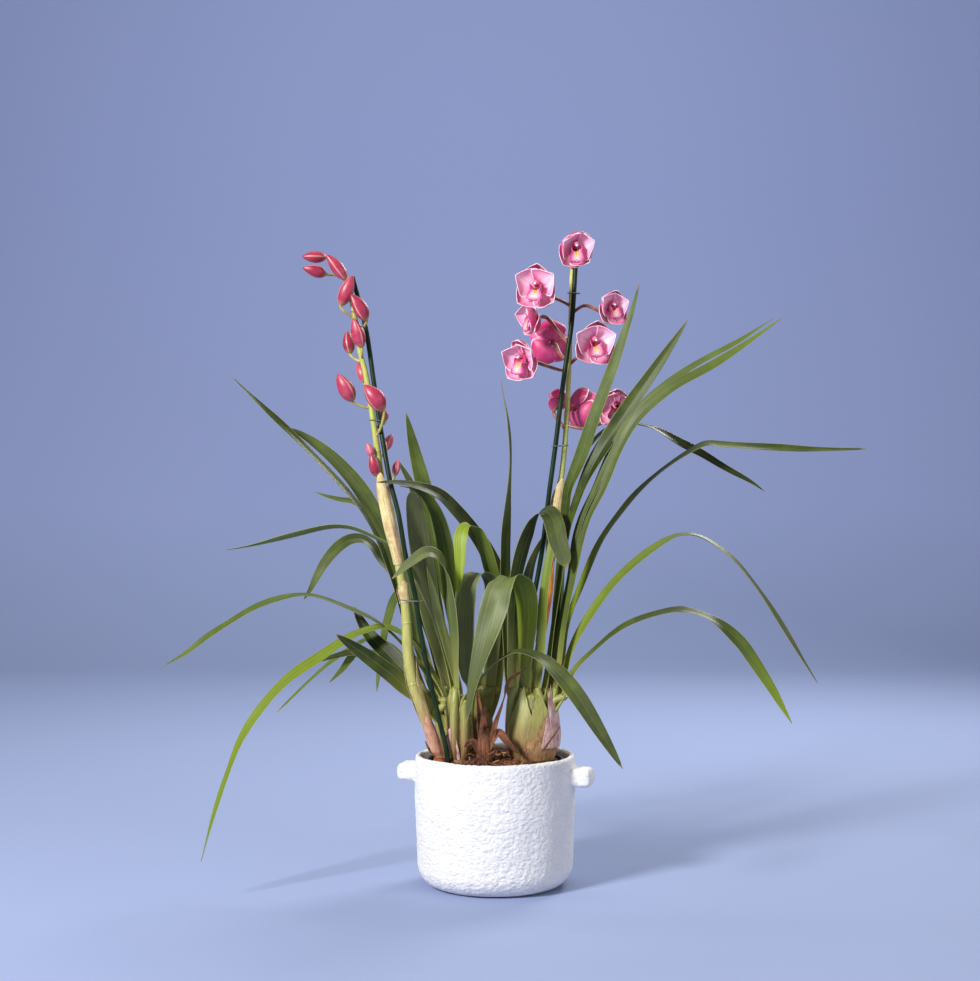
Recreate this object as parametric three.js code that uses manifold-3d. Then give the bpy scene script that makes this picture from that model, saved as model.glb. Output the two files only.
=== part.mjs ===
import * as THREE from "three";
import { mergeVertices } from "three/addons/utils/BufferGeometryUtils.js";
import Module from "manifold-3d";

// Potted orchid in a round ceramic cachepot. Millimetres, +Z up, the pot's base centred on the origin.

// Driving dimensions
const potRadius = 100;
const potHeight = 163;
const potWall = 9;
const potFloor = 12;
const potSides = 28;
const potCorner = 27;
const potFootInset = 3;
const lugReach = 24;
const lugWidth = 40;
const lugHeight = 23;
const lugTop = 149;
const lugTurn = 14;
const linerRadius = 85;
const linerFoot = 64;
const linerTop = 156;
const linerWall = 1.8;
const linerRim = 3;
const linerRimHeight = 7;
const mixTop = 155;
const mixChips = 9;
const stakeRadius = 3;
const bladeThickness = 1.3;
const bladeEdge = 0.8;
const stalkThickness = 7;
const stalkLength = 80;
const stalkFold = 0.5;
const tipHalfWidth = 0.7;
const tieHeight = 2.4;
const tieThickness = 1.2;
const tieSlack = 1.2;
const gap = 0.5;

const plugBottom = 132;
const degree = Math.PI / 180;
const up = new THREE.Vector3(0, 0, 1);
const toFront = new THREE.Vector3(0, -1, 0);

const manifold = await Module();
manifold.setup();

// Small tools

function seededRandom(seed) {
  let state = seed;
  return () => {
    state = (state * 1664525 + 1013904223) % 4294967296;
    return state / 4294967296;
  };
}

function solidOf(geometry) {
  const bare = geometry.clone();
  bare.deleteAttribute("normal");
  bare.deleteAttribute("uv");
  const merged = mergeVertices(bare, 1e-4);
  const mesh = new manifold.Mesh({
    numProp: 3,
    vertProperties: merged.attributes.position.array,
    triVerts: new Uint32Array(merged.index.array),
  });
  return new manifold.Manifold(mesh);
}

// Joins solids, fills any hollow that the joining seals and drops loose scrap.
function fuse(solids) {
  const joined = solids.reduce((sum, solid) => sum.add(solid));
  const bodies = joined.decompose();
  return bodies.reduce((best, body) => (body.volume() > best.volume() ? body : best));
}

function meshOf(name, solid, colour, roughness = 0.7) {
  const data = solid.getMesh();
  const geometry = new THREE.BufferGeometry();
  geometry.setAttribute("position", new THREE.BufferAttribute(data.vertProperties, data.numProp));
  geometry.setIndex(new THREE.BufferAttribute(data.triVerts, 1));
  geometry.computeVertexNormals();
  const mesh = new THREE.Mesh(geometry, new THREE.MeshStandardMaterial({ color: colour, roughness }));
  mesh.name = name;
  return mesh;
}

const vector = (point) => new THREE.Vector3(...point);
const curveThrough = (points) => new THREE.CatmullRomCurve3(points.map(vector), false, "centripetal");
const mix = (a, b, t) => a + (b - a) * t;

function alongList(list, t) {
  const place = Math.min(t * (list.length - 1), list.length - 1.0001);
  const step = Math.max(Math.floor(place), 0);
  return mix(list[step], list[step + 1], place - step);
}

// A closed skin over rings of the same number of points, each ring counter-clockwise seen from its end.
function loft(rings) {
  const count = rings[0].length;
  const positions = rings.flat().flatMap((point) => point.toArray());
  const index = [];
  for (let r = 0; r + 1 < rings.length; r += 1) {
    for (let i = 0; i < count; i += 1) {
      const a = r * count + i;
      const b = r * count + ((i + 1) % count);
      // mirrored diagonals keep a twisted blade's two faces parallel
      if (i * 2 < count) index.push(a, b, b + count, a, b + count, a + count);
      else index.push(a, b, a + count, b, b + count, a + count);
    }
  }
  const last = (rings.length - 1) * count;
  for (let i = 1; i + 1 < count; i += 1) {
    index.push(0, i + 1, i);
    index.push(last, last + i, last + i + 1);
  }
  const geometry = new THREE.BufferGeometry();
  geometry.setAttribute("position", new THREE.Float32BufferAttribute(positions, 3));
  geometry.setIndex(index);
  const solid = solidOf(geometry);
  if (solid.volume() > 0) return solid;
  for (let i = 0; i < index.length; i += 3) [index[i + 1], index[i + 2]] = [index[i + 2], index[i + 1]];
  geometry.setIndex(index);
  return solidOf(geometry);
}

// A strap blade along a route. The rolls, in degrees and spread evenly over the route's points, turn its
// face about the route: 0 shows its edge from the front, -90 its upper face and 90 its underside.
function blade(given) {
  const { points, width, rolls, shape, sections, widest = 0.55, foot = 0.52, blunt = 5, keel = 0.2 } = given;
  const { stalk = 0 } = given;
  const curve = curveThrough(points);
  const hand = points[points.length - 1][0] < points[0][0] ? 1 : -1;
  const count = sections ?? Math.min(11, Math.max(6, points.length - 2));
  const middles = curve.getPoints(count);
  const reached = [0];
  for (let i = 1; i <= count; i += 1) reached.push(reached[i - 1] + middles[i].distanceTo(middles[i - 1]));
  const rings = middles.map((middle, i) => {
    const t = reached[i] / reached[count];
    const root = Math.max(0, 1 - reached[i] / stalkLength) * stalk;
    const along = curve.getTangent(i / count);
    const edgeOn = toFront.clone().addScaledVector(along, -toFront.dot(along)).normalize();
    const inward = along.clone().cross(edgeOn).multiplyScalar(hand);
    const roll = alongList(rolls, i / count) * degree;
    const side = edgeOn.clone().multiplyScalar(Math.cos(roll)).addScaledVector(inward, Math.sin(roll));
    const face = inward.clone().multiplyScalar(Math.cos(roll)).addScaledVector(edgeOn, -Math.sin(roll));
    const half = Math.max((width / 2) * shape(t, widest, foot, blunt), tipHalfWidth);
    const rise = half * (keel + stalkFold * root);
    const core = mix(bladeThickness, stalkThickness, root) / 2;
    const rim = mix(bladeEdge, stalkThickness * 0.4, root) / 2;
    const place = (across, lift) => middle.clone().addScaledVector(side, across).addScaledVector(face, lift);
    return [
      place(-half, rise + rim),
      place(0, core),
      place(half, rise + rim),
      place(half, rise - rim),
      place(0, -core),
      place(-half, rise - rim),
    ];
  });
  return loft(rings);
}

// Half-width shares along a leaf, from its folded base to where it is widest and on to its tip, which is
// pointed at a blunt of 5 and rounded at 12.
function leafShape(t, widest, foot, blunt) {
  const rise = Math.min(t / widest, 1);
  return mix(foot, 1, rise * rise * (3 - 2 * rise)) * Math.pow(1 - Math.pow(t, blunt), 4 / blunt);
}

// A dry strip is ragged: nearly even to a blunt end.
const stripShape = (t) => 0.75 + 0.25 * Math.sin(t * Math.PI) - 0.45 * Math.pow(t, 4);

// A round stem with a ring at each point of its route, its radius taken from a list spread over the points.
function stem(points, radii, sides = 6) {
  const curve = curveThrough(points);
  const rings = points.map((point, i) => {
    const t = i / (points.length - 1);
    const along = curve.getTangent(t);
    const across = toFront.clone().addScaledVector(along, -toFront.dot(along));
    if (across.length() < 0.2) across.copy(up).addScaledVector(along, -up.dot(along));
    across.normalize();
    const other = along.clone().cross(across);
    const radius = alongList(radii, t);
    return Array.from({ length: sides }, (_, k) => {
      const turn = (k / sides) * 2 * Math.PI;
      return vector(point)
        .addScaledVector(across, Math.cos(turn) * radius)
        .addScaledVector(other, Math.sin(turn) * radius);
    });
  });
  return loft(rings);
}

function turned(profile, sides) {
  const points = profile.map(([radius, height]) => new THREE.Vector2(radius, height));
  const geometry = new THREE.LatheGeometry(points, sides);
  geometry.rotateX(Math.PI / 2);
  const solid = solidOf(geometry);
  if (solid.volume() > 0) return solid;
  const index = geometry.index.array;
  for (let i = 0; i < index.length; i += 3) [index[i + 1], index[i + 2]] = [index[i + 2], index[i + 1]];
  return solidOf(geometry);
}

// Pot, liner and growing mix

function roundedCorner(centreRadius, centreHeight, radius, from, to, steps) {
  const points = [];
  for (let i = 0; i <= steps; i += 1) {
    const turn = mix(from, to, i / steps) * degree;
    points.push([centreRadius + Math.cos(turn) * radius, centreHeight + Math.sin(turn) * radius]);
  }
  return points;
}

function lug(side) {
  const radius = 8;
  const outline = new THREE.Shape();
  const halfWidth = lugWidth / 2;
  const inner = potRadius - potWall / 2;
  const outer = potRadius + lugReach;
  outline.moveTo(inner, -halfWidth);
  outline.lineTo(outer - radius, -halfWidth);
  outline.quadraticCurveTo(outer, -halfWidth, outer, -halfWidth + radius);
  outline.lineTo(outer, halfWidth - radius);
  outline.quadraticCurveTo(outer, halfWidth, outer - radius, halfWidth);
  outline.lineTo(inner, halfWidth);
  outline.closePath();
  const bevel = 5;
  const geometry = new THREE.ExtrudeGeometry(outline, {
    depth: lugHeight - 2 * bevel,
    bevelThickness: bevel,
    bevelSize: bevel,
    bevelOffset: -bevel,
    bevelSegments: 2,
    curveSegments: 3,
  });
  geometry.translate(0, 0, lugTop - lugHeight + bevel);
  return solidOf(geometry).rotate([0, 0, side * 180 - lugTurn]);
}

function pot() {
  const lip = potWall / 2;
  const insideCorner = potCorner - potWall;
  const insideFlat = potRadius - potFootInset - potWall - insideCorner;
  const footRadius = potRadius - potFootInset - potCorner;
  const profile = [
    [0, 0],
    [footRadius, 0],
    ...roundedCorner(footRadius, potCorner, potCorner, -72, 0, 3),
    [potRadius - 1, potHeight * 0.55],
    ...roundedCorner(potRadius - lip, potHeight - lip, lip, 0, 180, 3),
    ...roundedCorner(insideFlat, potFloor + insideCorner, insideCorner, 0, -90, 2),
    [0, potFloor],
  ];
  const bowl = turned(profile, potSides);
  // the lugs stop inside the wall, so that the bowl stays smooth within
  const bore = potRadius - potWall / 2;
  const [low, high] = [lugTop - 2 * lugHeight, lugTop + lugHeight];
  const cavity = turned([[0, low], [bore, low], [bore, high], [0, high]], potSides);
  const lugs = [0, 1].map((side) => lug(side).subtract(cavity));
  return fuse([bowl, ...lugs]);
}

const linerBottom = potFloor + gap;
const linerSides = 24;

function liner() {
  return turned([
    [0, linerBottom],
    [linerFoot, linerBottom],
    [linerRadius, linerTop - linerRimHeight],
    [linerRadius + linerRim, linerTop - linerRimHeight],
    [linerRadius + linerRim, linerTop],
    [linerRadius - linerWall, linerTop],
    [linerFoot - linerWall, linerBottom + linerWall],
    [0, linerBottom + linerWall],
  ], linerSides);
}

function mixBody() {
  const rim = linerRadius - linerWall - 1.6;
  const foot = linerFoot - linerWall - 1.2;
  const body = turned([
    [0, linerBottom + linerWall + gap],
    [foot, linerBottom + linerWall + gap],
    [rim, linerTop - 5],
    [rim * 0.72, mixTop],
    [rim * 0.4, mixTop + 3],
    [0, mixTop + 4],
  ], linerSides);
  const random = seededRandom(7);
  const chips = [];
  for (let i = 0; i < mixChips; i += 1) {
    const radius = Math.sqrt(random()) * (rim - 14);
    const bearing = random() * 2 * Math.PI;
    const size = [9 + random() * 12, 5 + random() * 6, 4 + random() * 3];
    const chip = new THREE.BoxGeometry(...size);
    chip.rotateX((random() - 0.5) * 0.9);
    chip.rotateY((random() - 0.5) * 0.9);
    chip.rotateZ(random() * Math.PI);
    const share = radius / rim;
    chip.translate(radius * Math.cos(bearing), radius * Math.sin(bearing), mixTop + 3.5 - 6 * share * share);
    chips.push(solidOf(chip));
  }
  return fuse([body, ...chips]);
}

// A plain upright hole with a little clearance round what stands in it.
function hole(x, y, radius, sides) {
  const bore = (radius + gap) / Math.cos(Math.PI / sides);
  const profile = [[0, plugBottom - 1], [bore, plugBottom - 1], [bore, mixTop + 30], [0, mixTop + 30]];
  return turned(profile, sides).translate([x, y, 0]);
}

// Growths: a swollen stem base with its fan of leaves

// A bulb: a plain plug in the mix below, swelling above it up to where its leaves leave.
const bulbWaist = 0.45;
const bulbSides = 8;

function bulb({ x, y, wide, deep, top }) {
  const neck = mixTop + 9;
  const level = (share) => mix(neck, top, share);
  const profile = [
    [0, plugBottom], [bulbWaist, plugBottom], [bulbWaist, neck], [0.8, level(0.13)], [1, level(0.36)],
    [0.9, level(0.64)], [0.64, level(0.88)], [0.35, top], [0, top + 1],
  ];
  return turned(profile, bulbSides).scale([wide, deep, 1]).translate([x, y, 0]);
}

function leaf(root, given) {
  const [x, y, z] = given.points[0];
  const sunk = [mix(root.x, x, 0.35), mix(root.y, y, 0.35), mix(root.top, z, 0.3) - 32];
  return blade({ ...given, points: [sunk, ...given.points], shape: leafShape, stalk: 1 });
}

function growth(root, leaves) {
  return fuse([bulb(root), ...leaves.map((each) => leaf(root, each))]);
}

const growths = {
  growth_left_front: {
    root: { x: -46, y: -14, wide: 15, deep: 14, top: 226 },
    leaves: [
      // narrow olive leaf held out to the left
      { width: 17, rolls: [-40, -30, -20, 10, 20, 28, 30, 25], points: [[-53, -14, 241], [-67, -8, 304],
        [-90, -2, 360], [-119, 2, 413], [-140, 2, 425], [-175, 2, 441], [-193, 2, 444], [-212, 0, 443],
        [-255, -6, 433], [-304, -14, 421], [-333, -22, 417]] },
      // long leaf falling to the far left
      { width: 17, rolls: [-30, -20, -12, -10, -12, -30, -40, -35], widest: 0.65, points: [[-67, -4, 230],
        [-94, 4, 272], [-122, 8, 303], [-150, 10, 326], [-179, 10, 340], [-212, 4, 354], [-231, -1, 359],
        [-255, -7, 358], [-293, -20, 347], [-332, -32, 324], [-355, -40, 309], [-375, -48, 293],
        [-405, -62, 275]] },
      // longest leaf, hanging below the pot's rim
      { width: 19, rolls: [-30, -20, -18, -25, -40, -40, -35, -30, -30], points: [[-61, -2, 227],
        [-84, 8, 272], [-108, 14, 303], [-138, 12, 319], [-163, 8, 314], [-181, 0, 307], [-216, -21, 284],
        [-251, -41, 261], [-280, -56, 230], [-305, -70, 192], [-321, -82, 149], [-336, -91, 102],
        [-350, -102, 48]] },
      // two short broad leaves low on the left
      { width: 22, rolls: [-60, -75, -75], points: [
        [-69, 2, 216], [-88, 6, 232], [-113, 14, 261], [-136, 24, 285], [-161, 34, 310], [-181, 44, 344]] },
      { width: 22, rolls: [-50, -75, -80], points: [[-76, -4, 214], [-91, -2, 229], [-112, -6, 246],
        [-130, -12, 263], [-164, -24, 290], [-196, -36, 314]] },
      // grey-green leaf bent over to the left
      { width: 24, rolls: [22, 24, 30, 34, 10, -31, -52, -60, -60], foot: 0.45, points: [[-49, -22, 244],
        [-52, -34, 306], [-56, -40, 350], [-60, -44, 386], [-68, -50, 408], [-82, -60, 415],
        [-101, -72, 404], [-124, -84, 384]] },
      // broad leaf falling forward over the rim
      { width: 25, rolls: [30, 10, -3, -32, -62, -75, -75], widest: 0.65, points: [[-35, -26, 233],
        [-19, -46, 257], [2, -60, 281], [26, -74, 295], [45, -84, 293], [59, -90, 286], [72, -96, 275],
        [86, -104, 260], [102, -112, 239], [120, -120, 211], [136, -127, 185], [149, -132, 164]] },
      // young pale blade
      { width: 14, rolls: [-60, -60], widest: 0.7, points: [[-46, -10, 240], [-58, -8, 290],
        [-72, -6, 340], [-85, -6, 396]] },
    ],
  },
  growth_left_back: {
    root: { x: -58, y: 34, wide: 14, deep: 14, top: 226 },
    leaves: [
      { width: 16, rolls: [-40, -30, -20, -20, -25, -45, -40], widest: 0.7, points: [[-85, 34, 225],
        [-105, 33, 283], [-126, 31, 364], [-151, 27, 434], [-167, 24, 462], [-183, 21, 484],
        [-220, 14, 525], [-257, 8, 563], [-300, 2, 604], [-329, 0, 632]] },
      { width: 24, rolls: [-70, -80, -80, -75, -60], points: [[-77, 40, 237], [-98, 46, 300],
        [-114, 50, 360], [-134, 52, 420], [-153, 50, 459], [-175, 46, 497], [-210, 42, 535],
        [-247, 36, 562], [-269, 32, 571]] },
      { width: 17, rolls: [-40, -40, -35, -35, -50, -50], points: [[-70, 48, 242], [-86, 64, 311],
        [-112, 84, 387], [-142, 96, 438], [-183, 106, 474], [-203, 108, 478], [-222, 110, 483],
        [-239, 111, 489]] },
      { width: 22, rolls: [-35, -30, -30, -35, -60, -75, -75], widest: 0.7, points: [[-64, 46, 236],
        [-83, 62, 298], [-112, 72, 362], [-148, 69, 401], [-158, 67, 418], [-170, 63, 427],
        [-184, 59, 427], [-198, 54, 419], [-213, 48, 403], [-225, 42, 383], [-234, 33, 364],
        [-242, 24, 351]] },
      { width: 20, rolls: [-30, -30, -40, -50], points: [
        [-60, 58, 235], [-76, 88, 296], [-101, 108, 343], [-125, 116, 354],
        [-140, 114, 318], [-149, 106, 268], [-154, 98, 228]] },
      { width: 24, rolls: [-45, -50, -50], widest: 0.75, points: [[-54, 36, 238], [-65, 44, 288],
        [-75, 50, 339], [-85, 56, 393], [-94, 60, 440], [-104, 62, 488], [-126, 64, 531]] },
      { width: 16, rolls: [-20, -20, -20], points: [
        [-83, 46, 217], [-107, 66, 257], [-133, 88, 286], [-163, 104, 295],
        [-190, 116, 281], [-220, 126, 260], [-289, 140, 196]] },
      { width: 16, rolls: [-20, -30, -45, -45], points: [[-88, 42, 214], [-115, 54, 243], [-143, 68, 270],
        [-175, 82, 281], [-209, 95, 274], [-232, 104, 266]] },
      { width: 16, rolls: [-25, -30, -45, -60, -60], points: [[-84, 38, 218], [-112, 56, 250],
        [-145, 80, 272], [-179, 94, 279], [-189, 101, 270], [-198, 106, 258], [-217, 112, 238]] },
      // dull round-tipped blade
      { width: 29, rolls: [-80, -85, -85], widest: 0.7, blunt: 9, points: [[-50, 26, 238], [-66, 24, 282],
        [-80, 24, 330], [-88, 24, 380], [-95, 22, 425], [-101, 18, 465], [-106, 14, 489]] },
    ],
  },
  growth_centre_back: {
    root: { x: -18, y: 42, wide: 15, deep: 14, top: 228 },
    leaves: [
      { width: 27, rolls: [-70, -85, -85], points: [
        [-19, 46, 236], [-40, 64, 298], [-59, 82, 361], [-78, 94, 426], [-92, 100, 491],
        [-105, 102, 543], [-116, 102, 592]] },
      { width: 28, rolls: [80, 78, 70, 50, 0], foot: 0.42, points: [[-28, 38, 237], [-42, 46, 287],
        [-54, 52, 350], [-62, 54, 401], [-71, 50, 447], [-85, 42, 478], [-102, 34, 491],
        [-121, 28, 496]] },
      { width: 24, rolls: [50, 55, 60, 60, 58, 52, 36, -20, -72, -82, -80, -78], widest: 0.75, foot: 0.42,
        points: [[2, 28, 238], [6, 24, 302], [4, 18, 352], [-6, 8, 390], [-14, 0, 418], [-24, -8, 441],
          [-35, -16, 447], [-42, -22, 434], [-43, -26, 408], [-44, -28, 382], [-47, -28, 358]] },
      { width: 27, rolls: [60, 62, 66, 65, 45, 5, -60, -80, -82, -80, -75], blunt: 9, points: [[-9, 20, 239],
        [-4, 18, 304], [-3, 12, 350], [-6, 4, 376], [-18, -4, 386], [-31, -11, 378], [-37, -15, 352],
        [-38, -17, 315], [-36, -17, 280], [-34, -16, 248]] },
    ],
  },
  growth_right_front: {
    root: { x: 46, y: -19, wide: 30, deep: 22, top: 228 },
    leaves: [
      // broad silvery leaf folded over to the front
      { width: 38, rolls: [32, 34, 42, 52, 58, 45, 0, -50, -75, -62, -45, -30, -25], widest: 0.45, foot: 0.36,
        points: [[36, -18, 243], [36, -18, 297], [37, -19, 330], [35, -21, 358], [29, -30, 376],
          [18, -46, 383], [8, -60, 374], [0, -66, 350], [-8, -70, 322], [-17, -73, 290], [-26, -74, 256],
          [-35, -72, 207]] },
      { width: 27, rolls: [50, 45, 40, 38, 45, 38, 20, -5, -60, -78, -80, -78, -75], widest: 0.75, foot: 0.45,
        blunt: 12, points: [[23, -18, 243], [22, -14, 305], [25, -12, 366], [34, -14, 412],
          [42, -17, 436], [49, -21, 453], [57, -26, 463], [65, -30, 462], [72, -34, 449], [76, -38, 430],
          [81, -41, 415], [87, -43, 396]] },
      { width: 18, rolls: [-45, -50, -55, -55, -45, -25, -12, -12, -10], foot: 0.6, points: [
        [18, -14, 243], [14, -10, 304], [12, -6, 366], [12, -4, 432], [15, 0, 476], [18, 4, 528],
        [16, 6, 572], [7, 6, 630]] },
      // the tall leaf in front of the flowers
      { width: 20, rolls: [-50, -40, -35, -60, -65, -60], widest: 0.62, points: [[68, -8, 242],
        [74, -5, 304], [80, -4, 378], [87, -6, 444], [91, -10, 490], [98, -14, 510], [106, -18, 530],
        [120, -26, 574], [139, -32, 626], [158, -38, 681], [168, -40, 711], [176, -42, 743]] },
      { width: 24, rolls: [-30, -20, -15, -25, -65, -80, -80, -75], widest: 0.7, keel: 0.32, points: [
        [63, -18, 243], [71, -18, 305], [80, -19, 366], [93, -21, 444], [108, -24, 491], [121, -25, 521],
        [149, -26, 568], [168, -27, 598], [186, -28, 624], [204, -28, 650], [225, -27, 681],
        [237, -26, 700]] },
      // two leaves lying together, their tips side by side
      { width: 17, rolls: [-40, -35, -35, -35, -45, -60, -60, -50], widest: 0.75, points: [[74, -22, 243],
        [84, -26, 318], [98, -30, 392], [106, -33, 429], [116, -36, 460], [131, -40, 491],
        [152, -45, 543], [176, -46, 582], [216, -45, 616], [262, -42, 641], [303, -38, 667],
        [351, -34, 701]] },
      { width: 15, rolls: [-40, -35, -35, -35, -40, -50, -50, -45], widest: 0.75, points: [[71, -12, 242],
        [80, -16, 318], [94, -20, 392], [99, -24, 429], [108, -28, 460], [123, -32, 491], [146, -35, 543],
        [169, -36, 582], [208, -37, 618], [242, -37, 642], [300, -36, 674], [342, -34, 702]] },
      { width: 19, rolls: [-38, -38, -36, -25, -10, -10, -20, -40, -40], points: [[80, -12, 238],
        [94, -16, 293], [117, -22, 336], [147, -28, 377], [184, -35, 411], [217, -39, 432],
        [235, -41, 436], [253, -43, 432], [289, -46, 407], [320, -48, 369], [356, -51, 314],
        [374, -52, 284], [392, -54, 255]] },
      { width: 21, rolls: [-25, -20, -18, -15, -25, -15, -60, -80, -80, -75], widest: 0.75, points: [
        [85, -24, 236], [95, -31, 266], [122, -39, 295], [158, -49, 325], [200, -59, 341],
        [223, -64, 345], [241, -67, 342], [262, -71, 334], [282, -75, 319], [297, -78, 304],
        [309, -80, 287], [332, -85, 251], [344, -86, 230], [355, -88, 211]] },
      { width: 17, rolls: [-40, -45, -45], foot: 0.6, points: [
        [53, -24, 244], [57, -26, 293], [59, -28, 342], [64, -28, 389], [71, -26, 428], [80, -24, 468]] },
    ],
  },
  growth_right_back: {
    root: { x: 53, y: 44, wide: 15, deep: 13, top: 229 },
    leaves: [
      // dark leaf leaning left, its tip in front of the bud spike
      { width: 25, rolls: [-70, -60, -50, -40, -40], points: [[29, 42, 237], [24, 42, 301], [14, 42, 350],
        [2, 41, 385], [-16, 36, 420], [-32, 28, 443], [-51, 16, 466], [-69, 4, 484], [-89, -10, 493],
        [-109, -22, 498], [-127, -32, 500], [-145, -40, 500]] },
      { width: 21, rolls: [60, 60, 50], points: [
        [39, 46, 237], [35, 48, 301], [38, 50, 351], [48, 50, 400], [63, 50, 434]] },
      { width: 19, rolls: [-30, -25, -20, -15, -12, -12, -60, -70, -60], widest: 0.8, points: [
        [77, 46, 237], [83, 52, 300], [89, 56, 413], [96, 60, 488], [105, 62, 519], [119, 62, 542],
        [142, 60, 567], [166, 58, 575], [201, 56, 570], [236, 54, 551], [262, 52, 538], [293, 50, 519],
        [328, 48, 500], [344, 46, 488]] },
      { width: 20, rolls: [-45, -35, -30, -20, -12, -15, -30, -40, -45, -45], widest: 0.7, points: [
        [82, 38, 238], [90, 38, 316], [109, 38, 367], [133, 36, 424], [158, 33, 460], [180, 29, 487],
        [211, 24, 515], [245, 20, 538], [265, 17, 548], [283, 14, 547], [313, 10, 545], [353, 8, 543],
        [393, 5, 541], [431, 2, 541], [463, 0, 542]] },
    ],
  },
};

// Old brown leaf bases and a dry twisted leaf, all from one withered bulb.
const dryRoot = { x: -13, y: -46, wide: 10, deep: 7, top: 190 };
const dryStrips = [
  { width: 13, rolls: [-70, -90, -60], points: [[-14, -42, 168], [-13, -44, 195], [-12, -42, 226]] },
  { width: 9, rolls: [-60, -40, -80], points: [[-17, -42, 170], [-20, -41, 210], [-22, -38, 246]] },
  { width: 9, rolls: [-80, -60, -20, 40, 80], points: [
    [-12, -47, 170], [-3, -50, 190], [4, -52, 212], [12, -52, 240], [18, -50, 258], [38, -50, 274]] },
  { width: 10, rolls: [-60, -90, -120], points: [[-10, -48, 172], [4, -53, 196], [14, -56, 186],
    [28, -56, 170]] },
  { width: 9, rolls: [-80, -60, -90], points: [[-18, -46, 168], [-28, -50, 184], [-38, -52, 178]] },
];

function drySheaths() {
  const strips = dryStrips.map((strip) => blade({ ...strip, shape: stripShape, sections: 4 }));
  return fuse([bulb(dryRoot), ...strips]);
}

// Spikes

// The point where a route passes a given height.
function placeAt(route, height) {
  const step = Math.max(1, route.findIndex((point) => point[2] >= height));
  const [low, high] = [route[step - 1], route[step]];
  const share = (height - low[2]) / (high[2] - low[2]);
  return low.map((v, i) => mix(v, high[i], share));
}

// A closed oval bud from its foot to its tip, with a short curved stalk from the spike.
function bud({ leaves, foot, tip, wide }) {
  const from = placeAt(leftStem, leaves);
  const along = (share) => foot.map((v, i) => mix(v, tip[i], share));
  const shares = [0.45, 1, 0.8, 0.14];
  const body = stem([0, 0.34, 0.7, 1].map(along), shares.map((share) => (share * wide) / 2));
  const bend = [mix(from[0], foot[0], 0.6), mix(from[1], foot[1], 0.6), mix(from[2], foot[2], 0.35)];
  return fuse([body, stem([from, bend, along(0.15)], [1.6, 1.6, 2], 3)]);
}

const leftStem = [
  [-68, -19, plugBottom], [-68, -19, 161], [-72, -22, 168], [-81, -25, 195], [-92, -26, 225],
  [-101, -26, 252],
  [-107, -25, 287], [-109, -24, 327], [-111, -23, 352], [-121, -21, 410], [-127, -19, 434],
  [-138, -14, 486],
  [-146, -9, 539], [-154, -6, 593], [-161, -3, 634], [-168, -1, 662], [-178, 0, 724], [-184, 2, 747],
  [-195, 4, 766], [-206, 4, 776],
];

// Each bud leaves the spike at a height
const leftBuds = [
  { leaves: 770, foot: [-210, 2, 781], tip: [-239, -4, 781], wide: 15 },
  { leaves: 758, foot: [-209, -9, 758], tip: [-237, -18, 765], wide: 16 },
  { leaves: 744, foot: [-185, -9, 751], tip: [-208, -16, 781], wide: 16 },
  { leaves: 706, foot: [-192, -6, 719], tip: [-177, -13, 755], wide: 18 },
  { leaves: 688, foot: [-159, -14, 700], tip: [-177, -23, 731], wide: 18 },
  { leaves: 654, foot: [-165, -13, 666], tip: [-175, -19, 702], wide: 17 },
  { leaves: 650, foot: [-181, 2, 660], tip: [-185, 8, 689], wide: 15 },
  { leaves: 614, foot: [-163, 12, 624], tip: [-172, 19, 652], wide: 14 },
  { leaves: 592, foot: [-176, -12, 600], tip: [-194, -18, 633], wide: 20 },
  { leaves: 556, foot: [-137, -25, 588], tip: [-160, -29, 619], wide: 22 },
  { leaves: 568, foot: [-137, 10, 577], tip: [-141, 17, 592], wide: 11 },
  { leaves: 530, foot: [-137, 2, 540], tip: [-129, 8, 560], wide: 12 },
  { leaves: 524, foot: [-152, -14, 531], tip: [-158, -18, 548], wide: 10 },
  { leaves: 498, foot: [-147, -16, 507], tip: [-153, -21, 535], wide: 14 },
  { leaves: 490, foot: [-125, -5, 508], tip: [-120, -2, 528], wide: 10 },
];

function budSpike() {
  const main = stem(leftStem, [6.2, 6.2, 6.8, 7, 6.8, 6, 5, 4.2, 3.6, 3.4, 3.2, 2.8, 2.2], 7);
  // papery sheaths stand round the stem as slightly wider sleeves
  const sleeves = [
    stem([placeAt(leftStem, 272), placeAt(leftStem, 327), placeAt(leftStem, 354)], [7.6, 7.8, 6.4], 8),
    stem([placeAt(leftStem, 410), placeAt(leftStem, 460), placeAt(leftStem, 500)], [7.2, 6.8, 5], 8),
  ];
  return fuse([main, ...sleeves, ...leftBuds.map(bud)]);
}

const rightStem = [
  [34, 11, plugBottom], [34, 11, 165], [41, 12, 205], [49, 13, 250], [57, 14, 304], [66, 15, 367],
  [72, 17, 430], [78, 18, 475], [85, 19, 520], [90, 20, 580], [93, 21, 640], [95, 22, 700],
  [96, 22, 755], [98, 20, 779],
];

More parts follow.
